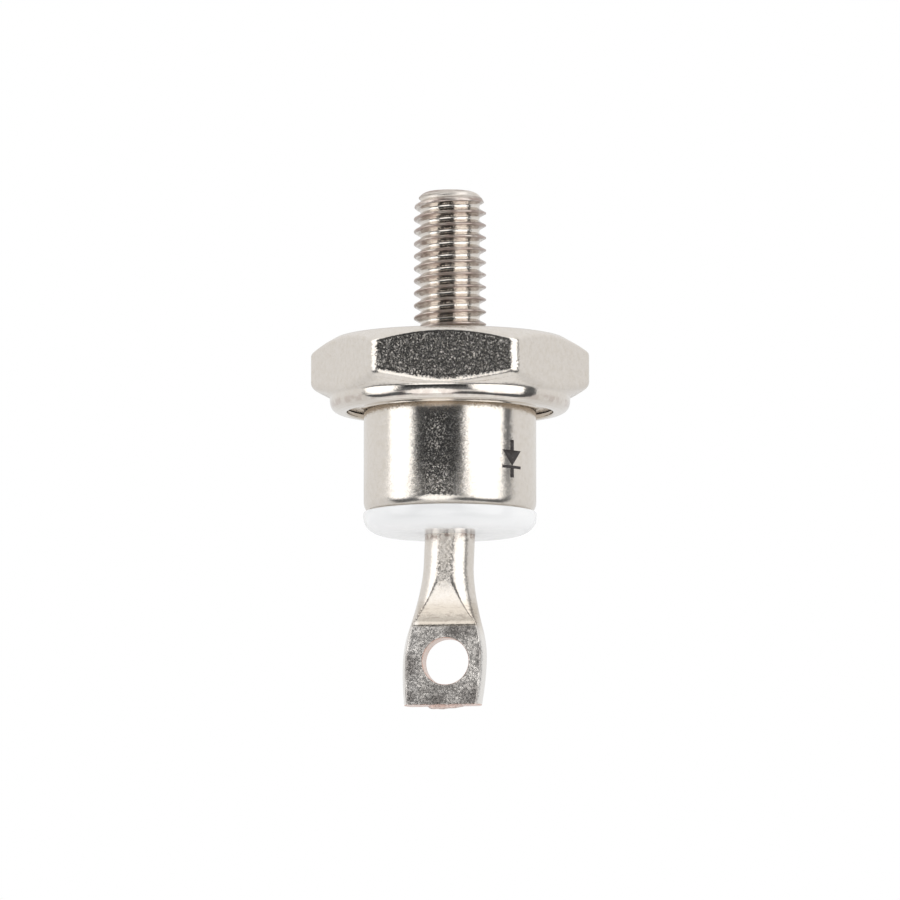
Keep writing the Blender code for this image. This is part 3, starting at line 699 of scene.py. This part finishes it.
def tip_outline(along):
    """The blank's (radius, z) at a distance along it: the rod, its rounded tip, its flat end."""
    tip_base = STUD_LENGTH - TIP_HEIGHT
    spread = STUD_RADIUS - TIP_RADIUS
    if along <= tip_base:
        return STUD_RADIUS, along
    share = min((along - tip_base) / (TIP_HEIGHT * 1.2), 1.0)
    if share < 1.0:
        angle = math.pi / 2 * share
        return TIP_RADIUS + spread * math.cos(angle), tip_base + TIP_HEIGHT * math.sin(angle)
    inward = (along - tip_base - TIP_HEIGHT * 1.2) / TIP_RADIUS
    return TIP_RADIUS * max(1.0 - inward, 0.0), STUD_LENGTH


def threaded_stud(surface):
    """The stud: a grid of points whose rows follow the helix, trimmed by the blank's shape."""
    columns = 160
    pitch_rows = thread_rows()
    first = math.floor((-STUD_ROOT_DEPTH - THREAD_CREST_HEIGHT) / THREAD_PITCH) - 2
    last = math.ceil((STUD_LENGTH - THREAD_CREST_HEIGHT) / THREAD_PITCH) + 2
    starts = [THREAD_CREST_HEIGHT + pitch * THREAD_PITCH for pitch in range(first, last)]
    lines = [start + row for start in starts for row in pitch_rows]
    vertices = []
    for i in range(columns):
        turn = i / columns
        angle = 2 * math.pi * turn
        for line in lines:
            along = line + THREAD_PITCH * turn
            if along < -STUD_ROOT_DEPTH:
                sunk = (-STUD_ROOT_DEPTH - along) / THREAD_PITCH
                blank, z = STUD_RADIUS * max(1.0 - sunk, 0.0), -STUD_ROOT_DEPTH
            else:
                blank, z = tip_outline(along)
            radius = min(blank, thread_radius(z - THREAD_CREST_HEIGHT - THREAD_PITCH * turn))
            vertices.append((radius * math.cos(angle), radius * math.sin(angle), z))
    faces = grid_faces(columns, len(lines), True, False, shift=len(pitch_rows))
    return add_mesh("threaded_stud", vertices, faces, surface, merge=1e-7)


def hexagon_radius(angle):
    """Distance from the axis to the hexagon's side, with its rounded corners."""
    flat = ACROSS_FLATS / 2
    centre = (flat - HEX_CORNER_RADIUS) / math.cos(math.radians(30))
    from_corner = (math.degrees(angle) + 30) % 60 - 30
    from_corner = math.radians(abs(from_corner))
    tangent = math.atan2(
        HEX_CORNER_RADIUS / 2, centre + HEX_CORNER_RADIUS * math.cos(math.radians(30))
    )
    if from_corner > tangent:
        return flat / math.cos(math.radians(30) - from_corner)
    side = centre * math.sin(from_corner)
    return centre * math.cos(from_corner) + math.sqrt(HEX_CORNER_RADIUS**2 - side**2)


def hexagon_angles():
    """Angles round the hexagon, close together at its corners."""
    angles = []
    corner_reach = 2.4
    for corner in range(6):
        for step in range(20):
            angles.append(60 * corner - corner_reach + 2 * corner_reach * step / 20)
        for step in range(28):
            angles.append(60 * corner + corner_reach + (60 - 2 * corner_reach) * step / 28)
    return [math.radians(angle) for angle in angles]


def collar_profile():
    """The rolled collar's outside: upright at the hexagon, flat at the lip, with two tool marks."""
    reach = COLLAR_RADIUS - LIP_RADIUS - LIP_EDGE_RADIUS
    top = COLLAR_BOTTOM + COLLAR_HEIGHT
    points = []
    for step in range(1, 45):
        angle = math.radians(90 * step / 45)
        across = math.cos(angle) ** COLLAR_SQUARENESS
        down = math.sin(angle) ** COLLAR_SQUARENESS
        mark = sum(math.exp(-(((90 * step / 45 - at) / 2.0) ** 2)) for at in (58, 76))
        sunk = 0.018 * MM * mark
        points.append(
            (
                LIP_RADIUS + LIP_EDGE_RADIUS + reach * across - sunk * math.cos(angle),
                top + (COLLAR_BOTTOM - top) * down + sunk * math.sin(angle),
                0.0,
                0,
            )
        )
    return points


def base_outline(side):
    """Section of the base in the direction where its hexagon's side is at a given radius."""
    seat = ACROSS_FLATS / 2 - CHAMFER_INSET
    low_seat = ACROSS_FLATS / 2 - LOW_CHAMFER_INSET
    return rounded(
        [
            (0.0, SHANK_HEIGHT, 0.0, 0),
            (SHANK_RADIUS, SHANK_HEIGHT, 0.05 * MM, 2),
            (SHANK_RADIUS, 0.0, 0.03 * MM, 2),
            (seat, 0.0, SEAT_EDGE_RADIUS, 4),
            (side, (seat - side) * CHAMFER_SLOPE, HEX_TOP_EDGE_RADIUS, 8),
            (side, (side - low_seat) * LOW_CHAMFER_SLOPE - HEX_HEIGHT, HEX_LOW_EDGE_RADIUS, 10),
            (COLLAR_RADIUS, (COLLAR_RADIUS - low_seat) * LOW_CHAMFER_SLOPE - HEX_HEIGHT, 0.0, 0),
            *collar_profile(),
            (LIP_RADIUS, COLLAR_BOTTOM, LIP_EDGE_RADIUS, 6),
            (LIP_RADIUS, LIP_TOP, 0.08 * MM, 3),
            (RECESS_RADIUS, LIP_TOP, 0.05 * MM, 2),
            (RECESS_RADIUS, -HEX_HEIGHT - RECESS_DEPTH, 0.05 * MM, 2),
            (PEDESTAL_RADIUS, -HEX_HEIGHT - RECESS_DEPTH, 0.05 * MM, 2),
            (PEDESTAL_RADIUS, PEDESTAL_FACE, 0.2 * MM, 3),
            (0.0, PEDESTAL_FACE, 0.0, 0),
        ],
        side_share=0.6,
    )


def hexagon_base(surface):
    """The hexagon with its collar and pedestal: one section for each direction round the axis."""
    angles = hexagon_angles()
    vertices = []
    for angle in angles:
        outline = base_outline(hexagon_radius(angle))
        for radius, z in outline:
            vertices.append((radius * math.cos(angle), radius * math.sin(angle), z))
    faces = grid_faces(len(angles), len(outline), True, False)
    return soft_weights(add_mesh("hexagon_base", vertices, faces, surface, merge=1e-7))


def can(surface):
    inner = CAN_RADIUS - CAN_WALL
    flange_bottom = FLANGE_TOP - CAN_WALL
    outline = rounded(
        [
            (FLANGE_RADIUS - 1.0 * MM, FLANGE_TOP, 0.0, 0),
            (FLANGE_RADIUS, FLANGE_TOP, 0.1 * MM, 3),
            (FLANGE_RADIUS, flange_bottom, 0.1 * MM, 3),
            (CAN_RADIUS, flange_bottom, CAN_FLANGE_FILLET, 8),
            (CAN_RADIUS, CAN_RIM, CAN_RIM_RADIUS, 16),
            (RIM_OPENING, CAN_RIM, 0.08 * MM, 3),
            (RIM_OPENING, CAN_RIM + CAN_WALL, 0.08 * MM, 3),
            (inner, CAN_RIM + CAN_WALL, CAN_RIM_RADIUS - CAN_WALL, 4),
            (inner, FLANGE_TOP, CAN_FLANGE_FILLET + CAN_WALL, 8),
            (FLANGE_RADIUS - 1.0 * MM, FLANGE_TOP, 0.0, 0),
        ],
        side_share=0.8,
    )[:-1]
    return soft_weights(turned("can_skin", outline, surface, 224, closed=True))


def bead(surface):
    """The bead: a soft round underside, and a dished top that the can's rim is sunk into."""
    spigot = RIM_OPENING - GAP
    bore = TUBE_RADIUS + 0.012 * MM
    hub = BEAD_RADIUS - 1.9 * MM
    shoulder = CAN_RIM + 0.07 * MM
    underside = []
    for step in range(1, 30):
        angle = math.radians(90 * step / 30)
        across = math.sin(angle) ** 0.9
        up = 1 - math.cos(angle) ** 0.9
        radius = hub + (BEAD_RADIUS - hub) * across
        underside.append((radius, BEAD_BOTTOM + (shoulder - BEAD_BOTTOM) * up, 0.0, 0))
    dish = []
    dish_radius = CAN_RIM_RADIUS + GAP
    for step in range(9):
        angle = math.radians(-42 - 48 * step / 8)
        radius = CAN_RADIUS - CAN_RIM_RADIUS + dish_radius * math.cos(angle)
        dish.append((radius, CAN_RIM + CAN_RIM_RADIUS + dish_radius * math.sin(angle), 0.0, 0))
    outline = rounded(
        [
            (bore, SPIGOT_TOP - 0.1 * MM, 0.0, 0),
            (bore, BEAD_BOTTOM - 0.01 * MM, 0.03 * MM, 3),
            (hub, BEAD_BOTTOM, 0.0, 0),
            *underside,
            (BEAD_RADIUS, shoulder, 0.0, 0),
            (BEAD_RADIUS, dish[0][1] - 0.02 * MM, 0.16 * MM, 6),
            *dish,
            (spigot, BEAD_TOP, 0.05 * MM, 2),
            (spigot, SPIGOT_TOP, 0.1 * MM, 3),
            (bore, SPIGOT_TOP, 0.0, 0),
        ]
    )
    return soft_weights(turned("bead_skin", outline, surface, 192, closed=True))


def tube_half_width(z):
    if z >= FLARE_START:
        return TUBE_RADIUS
    if z >= LUG_START:
        share = (FLARE_START - z) / (FLARE_START - LUG_START)
        return TUBE_RADIUS + (LUG_ROOT_HALF_WIDTH - TUBE_RADIUS) * share**1.6
    if z >= LUG_HOLE_HEIGHT:
        share = (z - LUG_HOLE_HEIGHT) / (LUG_START - LUG_HOLE_HEIGHT)
        return LUG_HALF_WIDTH + (LUG_ROOT_HALF_WIDTH - LUG_HALF_WIDTH) * share**2
    share = (LUG_HOLE_HEIGHT - z) / LUG_HOLE_FROM_END
    return LUG_HALF_WIDTH + (LUG_END_HALF_WIDTH - LUG_HALF_WIDTH) * share**2


def leant(z):
    """How far along X the terminal's middle lies at a height."""
    return -TUBE_LEAN * max(BEAD_BOTTOM - z, 0.0)


def pressed_depth(z):
    """Half the thickness between the dies, with a soft concave line where facet meets lug."""
    share = max((FACET_START - z) / FACET_RUN, 0.0)
    facet = TUBE_RADIUS - FACET_DROP * share - FACET_BEND * min(share, 1.3) ** 4
    slope = (FACET_DROP + 4 * FACET_BEND) / FACET_RUN
    return -soft_limit(-facet, -LUG_THICKNESS / 2, PRESS_LINE_REACH * slope)


def soft_limit(value, limit, softness):
    """The smaller of two lengths, with a round edge where they meet."""
    spread = max(softness - abs(value - limit), 0.0) / softness
    return min(value, limit) - spread * spread * softness / 4


def spaced(start, end, steps):
    return [start + (end - start) * step / steps for step in range(steps)]


def terminal_heights():
    """Heights of the terminal's sections, close together at the facet and the press line."""
    crease = 0.35 * MM
    heights = spaced(TUBE_TOP, BEAD_BOTTOM, 3)
    heights += spaced(BEAD_BOTTOM, FLARE_START, 4)
    heights += spaced(FLARE_START, FACET_START, 10)
    heights += spaced(FACET_START, LUG_START + crease, 40)
    heights += spaced(LUG_START + crease, LUG_START - crease, 22)
    heights += spaced(LUG_START - crease, LUG_END, 60)
    return heights + [LUG_END]


def terminal(surface):
    """The tube as a stack of sections: an oval that the press has flattened from both sides."""
    columns = 200
    heights = terminal_heights()
    softness = 0.09 * MM
    vertices = []
    for z in heights:
        width, limit = tube_half_width(z), pressed_depth(z)
        for i in range(columns):
            angle = 2 * math.pi * i / columns
            oval = TUBE_RADIUS * abs(math.sin(angle))
            depth = soft_limit(oval, limit, softness) if limit < TUBE_RADIUS else oval
            depth = math.copysign(max(depth, 0.0), math.sin(angle))
            vertices.append((leant(z) + width * math.cos(angle), depth, z))
    faces = grid_faces(len(heights), columns, False, True)
    last = (len(heights) - 1) * columns
    faces.append(tuple(range(columns)))
    faces.append(tuple(last + i for i in range(columns)))
    piece = add_mesh("terminal_skin", vertices, faces, surface)
    for cutter in terminal_cutters():
        modifier = piece.modifiers.new(cutter.name, "BOOLEAN")
        modifier.operation = "DIFFERENCE"
        modifier.solver = "EXACT"
        modifier.object = cutter
    bpy.context.view_layer.update()
    graph = bpy.context.evaluated_depsgraph_get()
    cut = bpy.data.meshes.new_from_object(piece.evaluated_get(graph))
    cutters = [modifier.object for modifier in piece.modifiers]
    piece.modifiers.clear()
    piece.data = cut
    for cutter in cutters:
        bpy.data.objects.remove(cutter, do_unlink=True)
    piece.data.shade_smooth()
    piece.data.set_sharp_from_angle(angle=math.radians(40))
    piece.data.transform(turn_matrix())
    return piece


def turn_matrix():
    return Matrix.Rotation(LUG_TURN, 4, "Z")


def terminal_cutters():
    """The screw hole with broken edges, the bore, and the slit left between the pressed walls."""
    half = LUG_THICKNESS / 2
    flare, beyond = 0.03 * MM, 0.6 * MM
    profile = rounded(
        [
            (0.0, -half - beyond, 0.0, 0),
            (LUG_HOLE_RADIUS + flare + beyond, -half - beyond, 0.0, 0),
            (LUG_HOLE_RADIUS, -half + flare, 0.05 * MM, 3),
            (LUG_HOLE_RADIUS, half - flare, 0.05 * MM, 3),
            (LUG_HOLE_RADIUS + flare + beyond, half + beyond, 0.0, 0),
            (0.0, half + beyond, 0.0, 0),
        ]
    )
    hole = turned("hole_cutter", profile, None, 96)
    for vertex in hole.data.vertices:
        x, y, z = vertex.co
        vertex.co = (x + leant(LUG_HOLE_HEIGHT) + LUG_HOLE_OFFSET, z, y + LUG_HOLE_HEIGHT)
    bore_radius = TUBE_RADIUS - TUBE_WALL
    bore = [(0.0, TUBE_TOP + 1 * MM), (bore_radius, TUBE_TOP + 1 * MM)]
    bore += [(bore_radius, FACET_START - 0.4 * MM), (0.0, FACET_START - 1.0 * MM)]
    cutters = [hole, turned("bore_cutter", bore, None, 64)]
    slit_width, slit_depth, slit_height = 4.2 * MM, 0.05 * MM, 0.35 * MM
    bm = bmesh.new()
    bmesh.ops.create_cube(bm, size=1.0)
    bmesh.ops.scale(bm, verts=bm.verts, vec=(slit_width, slit_depth, 2 * slit_height))
    bmesh.ops.translate(bm, verts=bm.verts, vec=(leant(LUG_END), 0.0, LUG_END))
    mesh = bpy.data.meshes.new("slit_cutter")
    bm.to_mesh(mesh)
    bm.free()
    slit = bpy.data.objects.new("slit_cutter", mesh)
    bpy.context.scene.collection.objects.link(slit)
    for cutter in cutters:
        flip = bmesh.new()
        flip.from_mesh(cutter.data)
        bmesh.ops.recalc_face_normals(flip, faces=flip.faces[:])
        flip.to_mesh(cutter.data)
        flip.free()
    return [*cutters, slit]


def polarity_sign(surface):
    """The sign, wrapped on the can: strips of ink given by their low and high edge along it."""
    vertices, faces = [], []
    line = 0.19 * MM
    half_base = 1.05 * MM
    top, base, point, bar, foot = (height * MM for height in (1.5, 0.68, -0.56, -0.66, -1.5))

    def strip(start, end, low, high, steps):
        first = len(vertices)
        for step in range(steps + 1):
            across = start + (end - start) * step / steps
            angle = SIGN_AZIMUTH - math.pi / 2 + across / CAN_RADIUS
            for radius in (CAN_RADIUS + SIGN_RAISE, CAN_RADIUS + SIGN_RAISE + SIGN_INK):
                for height in (low(across), high(across)):
                    vertices.append(
                        (radius * math.cos(angle), radius * math.sin(angle), SIGN_HEIGHT + height)
                    )
        for step in range(steps):
            here, there = first + 4 * step, first + 4 * (step + 1)
            for a, b in ((0, 1), (1, 3), (3, 2), (2, 0)):
                faces.append((here + a, here + b, there + b, there + a))
        end_ring = first + 4 * steps
        faces.append((first, first + 1, first + 3, first + 2))
        faces.append((end_ring, end_ring + 1, end_ring + 3, end_ring + 2))

    strip(-line, line, lambda s: base, lambda s: top, 3)
    strip(-half_base, half_base, lambda s: point + (base - point) * abs(s) / half_base, lambda s: base, 16)
    strip(-half_base, half_base, lambda s: bar - line * 0.6, lambda s: bar + line * 0.6, 12)
    strip(-line, line, lambda s: foot, lambda s: bar - line * 0.6, 3)
    return add_mesh("polarity_sign", vertices, faces, surface)


def end_burr(surface):
    """The copper burr that the shear has left along the middle of the lug's back end."""
    vertices, faces = [], []
    steps = 28
    half_width, reach = 1.45 * MM, 0.3 * MM
    centre = leant(LUG_END) + 0.1 * MM
    back, front = LUG_THICKNESS / 2 - 0.03 * MM, LUG_THICKNESS / 2 - 0.45 * MM
    for step in range(steps + 1):
        share = step / steps
        x = centre - half_width + 2 * half_width * share
        swell = math.sin(math.pi * share) ** 0.35
        drop = reach * swell * (1.0 - 0.6 * share**0.8 + 0.06 * math.sin(19 * share))
        ring = [
            (x, front, LUG_END + 0.05 * MM),
            (x, front + 0.1 * MM, LUG_END - drop * 0.55),
            (x, (front + back) / 2 + 0.08 * MM, LUG_END - drop),
            (x, back, LUG_END - drop * 0.8),
            (x, back, LUG_END + 0.05 * MM),
        ]
        vertices += ring
    count = 5
    faces = grid_faces(steps + 1, count, False, True)
    faces.append(tuple(range(count)))
    faces.append(tuple(steps * count + i for i in range(count)))
    piece = add_mesh("end_burr", vertices, faces, surface)
    piece.data.transform(turn_matrix())
    return piece


def dress(piece, slot, *nodes):
    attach(piece, "root")
    if nodes:
        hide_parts(*nodes)
    return piece


def build_pieces():
    dress(threaded_stud(thread_nickel()), "nickel_on_copper", "stud_base")
    dress(hexagon_base(base_nickel()), "nickel_on_copper", "stud_base")
    dress(can(can_nickel()), "nickel_on_steel", "can_shell")
    dress(bead(glaze()), "white_glaze", "insulator_bead")
    dress(terminal(terminal_nickel()), "nickel_on_copper", "terminal_tube")
    dress(end_burr(bare_copper("copper_burr", COPPER_BURR)), "copper")
    dress(polarity_sign(ink()), "nickel_on_steel")


def finish_inner_nodes():
    """The pieces inside the can stay as the solids are, with their own materials."""
    solder = inner_metal("solder_grey", (0.55, 0.55, 0.57), 0.45, 0.15 * MM)
    moly = inner_metal("molybdenum_grey", (0.42, 0.42, 0.44), 0.4, 0.06 * MM)
    copper = bare_copper("copper_inner", (0.8, 0.42, 0.27), 0.35)
    finishes = {
        "base_solder": solder,
        "lead_solder": solder,
        "base_moly_disc": moly,
        "lead_moly_disc": moly,
        "contact_cup": copper,
        "inner_lead": copper,
        "silicon_die": inner_silicon(),
        "junction_coating": inner_rubber(),
    }
    for node, surface in finishes.items():
        for material_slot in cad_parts[node].material_slots:
            material_slot.material = surface


# Stage


def studio_world():
    """White to the camera. Metal sees a studio: two tall softboxes, a dark room, a pale table."""
    world = bpy.data.worlds.new("studio")
    bpy.context.scene.world = world
    world.use_nodes = True
    shader = Shader.__new__(Shader)
    shader.tree = world.node_tree
    shader.tree.nodes.clear()
    coordinates = shader.node("ShaderNodeTexCoord")
    direction = shader.vector("NORMALIZE", coordinates.outputs["Generated"])
    parts = shader.node("ShaderNodeSeparateXYZ")
    shader.feed(parts.inputs[0], direction)
    x, y, z = parts.outputs
    # Azimuth from the camera's side, positive to its right, and elevation, both in degrees
    azimuth = shader.math("DEGREES", shader.math("ARCTAN2", x, shader.math("MULTIPLY", y, -1.0)))
    azimuth = shader.math("SUBTRACT", azimuth, math.degrees(CAMERA_AZIMUTH))
    elevation = shader.math("DEGREES", shader.math("ARCSINE", z))

    def band(value, low, high, soft):
        rise = shader.ramp(value, low - soft, low + soft)
        fall = shader.ramp(value, high - soft, high + soft, 1.0, 0.0)
        return shader.math("MULTIPLY", rise, fall)

    def patch(azimuths, elevations, soft):
        return shader.math("MULTIPLY", band(azimuth, *azimuths, soft), band(elevation, *elevations, soft))

    def oval(middle, half, soft):
        aside = shader.math("DIVIDE", shader.math("SUBTRACT", azimuth, middle[0]), half[0])
        above = shader.math("DIVIDE", shader.math("SUBTRACT", elevation, middle[1]), half[1])
        squares = shader.math("ADD", shader.math("MULTIPLY", aside, aside), shader.math("MULTIPLY", above, above))
        return shader.ramp(shader.math("SQRT", squares), 1.0 + soft, 1.0 - soft)

    def layer(below, share, level):
        keep = shader.math("MULTIPLY", below, shader.math("SUBTRACT", 1.0, share))
        return shader.math("ADD", keep, shader.math("MULTIPLY", share, level))

    level = shader.ramp(elevation, -60.0, 60.0, 0.74, 0.9)
    level = layer(level, shader.ramp(elevation, -46.0, -58.0), 0.93)
    # The dark room behind the camera and the dark floor under it
    room = shader.ramp(elevation, -8.0, 7.0, 0.2, 0.033)
    level = layer(level, patch((-92.0, 90.0), (-12.0, 48.0), 2.0), room)
    level = layer(level, patch((-92.0, -41.0), (-44.0, -16.0), 2.0), 0.13)
    level = layer(level, patch((3.0, 90.0), (-50.0, -24.0), 2.0), 0.13)
    # The pale table in front of the camera
    level = layer(level, oval((-19.0, -25.0), (26.0, 20.0), 0.2), 1.4)
    # Softboxes to the left and right of the camera
    level = layer(level, oval((-70.5, 22.0), (21.5, 42.0), 0.2), 1.65)
    level = layer(level, oval((50.0, 20.0), (32.0, 48.0), 0.16), 1.65)
    # A dark flag past the right softbox
    level = layer(level, patch((76.0, 90.0), (-45.0, 60.0), 1.5), 0.12)
    seen = shader.node("ShaderNodeLightPath")
    # Matt surfaces are lit more evenly than the metal mirrors
    even = shader.math("ADD", shader.math("MINIMUM", level, 1.25), 0.23)
    level = layer(level, seen.outputs["Is Diffuse Ray"], even)
    level = layer(level, seen.outputs["Is Camera Ray"], 1.0)
    tint = shader.mix(shader.ramp(level, 0.08, 0.6), ROOM_TINT, (1.0, 1.0, 1.0))
    background = shader.node("ShaderNodeBackground")
    shader.feed(background.inputs["Color"], tint)
    shader.feed(background.inputs["Strength"], level)
    output = shader.node("ShaderNodeOutputWorld")
    shader.tree.links.new(background.outputs[0], output.inputs[0])


def floor():
    """A pale floor that is white to the camera and lets it look up from underneath."""
    bpy.ops.mesh.primitive_plane_add(size=FLOOR_SIZE, location=(0.0, 0.0, FLOOR_HEIGHT))
    plane = bpy.context.object
    plane.name = "studio_floor"
    material = bpy.data.materials.new("floor_pale")
    material.use_nodes = True
    tree = material.node_tree
    tree.nodes.clear()
    diffuse = tree.nodes.new("ShaderNodeBsdfDiffuse")
    diffuse.inputs["Color"].default_value = (0.86, 0.86, 0.86, 1.0)
    glow = tree.nodes.new("ShaderNodeEmission")
    glow.inputs["Strength"].default_value = 1.0
    clear = tree.nodes.new("ShaderNodeBsdfTransparent")
    path = tree.nodes.new("ShaderNodeLightPath")
    side = tree.nodes.new("ShaderNodeNewGeometry")
    seen = tree.nodes.new("ShaderNodeMixShader")
    both = tree.nodes.new("ShaderNodeMixShader")
    output = tree.nodes.new("ShaderNodeOutputMaterial")
    link = tree.links.new
    link(path.outputs["Is Camera Ray"], seen.inputs[0])
    link(diffuse.outputs[0], seen.inputs[1])
    link(glow.outputs[0], seen.inputs[2])
    link(side.outputs["Backfacing"], both.inputs[0])
    link(seen.outputs[0], both.inputs[1])
    link(clear.outputs[0], both.inputs[2])
    link(both.outputs[0], output.inputs[0])
    plane.data.materials.append(material)
    plane.visible_glossy = False


def camera():
    data = bpy.data.cameras.new("camera")
    data.sensor_width = SENSOR
    data.lens = SENSOR * CAMERA_DISTANCE / FRAME_WIDTH
    data.clip_start = 0.01
    data.clip_end = 20.0
    made = bpy.data.objects.new("camera", data)
    bpy.context.scene.collection.objects.link(made)
    level = math.cos(CAMERA_ELEVATION)
    back = Vector(
        (level * math.sin(CAMERA_AZIMUTH), -level * math.cos(CAMERA_AZIMUTH), math.sin(CAMERA_ELEVATION))
    )
    made.location = FRAME_CENTRE + back * CAMERA_DISTANCE
    made.rotation_mode = "QUATERNION"
    made.rotation_quaternion = (-back).to_track_quat("-Z", "Y")
    bpy.context.scene.camera = made


def main():
    camera()
    build_pieces()
    finish_inner_nodes()
    studio_world()
    floor()
    bpy.context.scene.view_settings.view_transform = "Standard"


main()
bpy.context.view_layer.update()
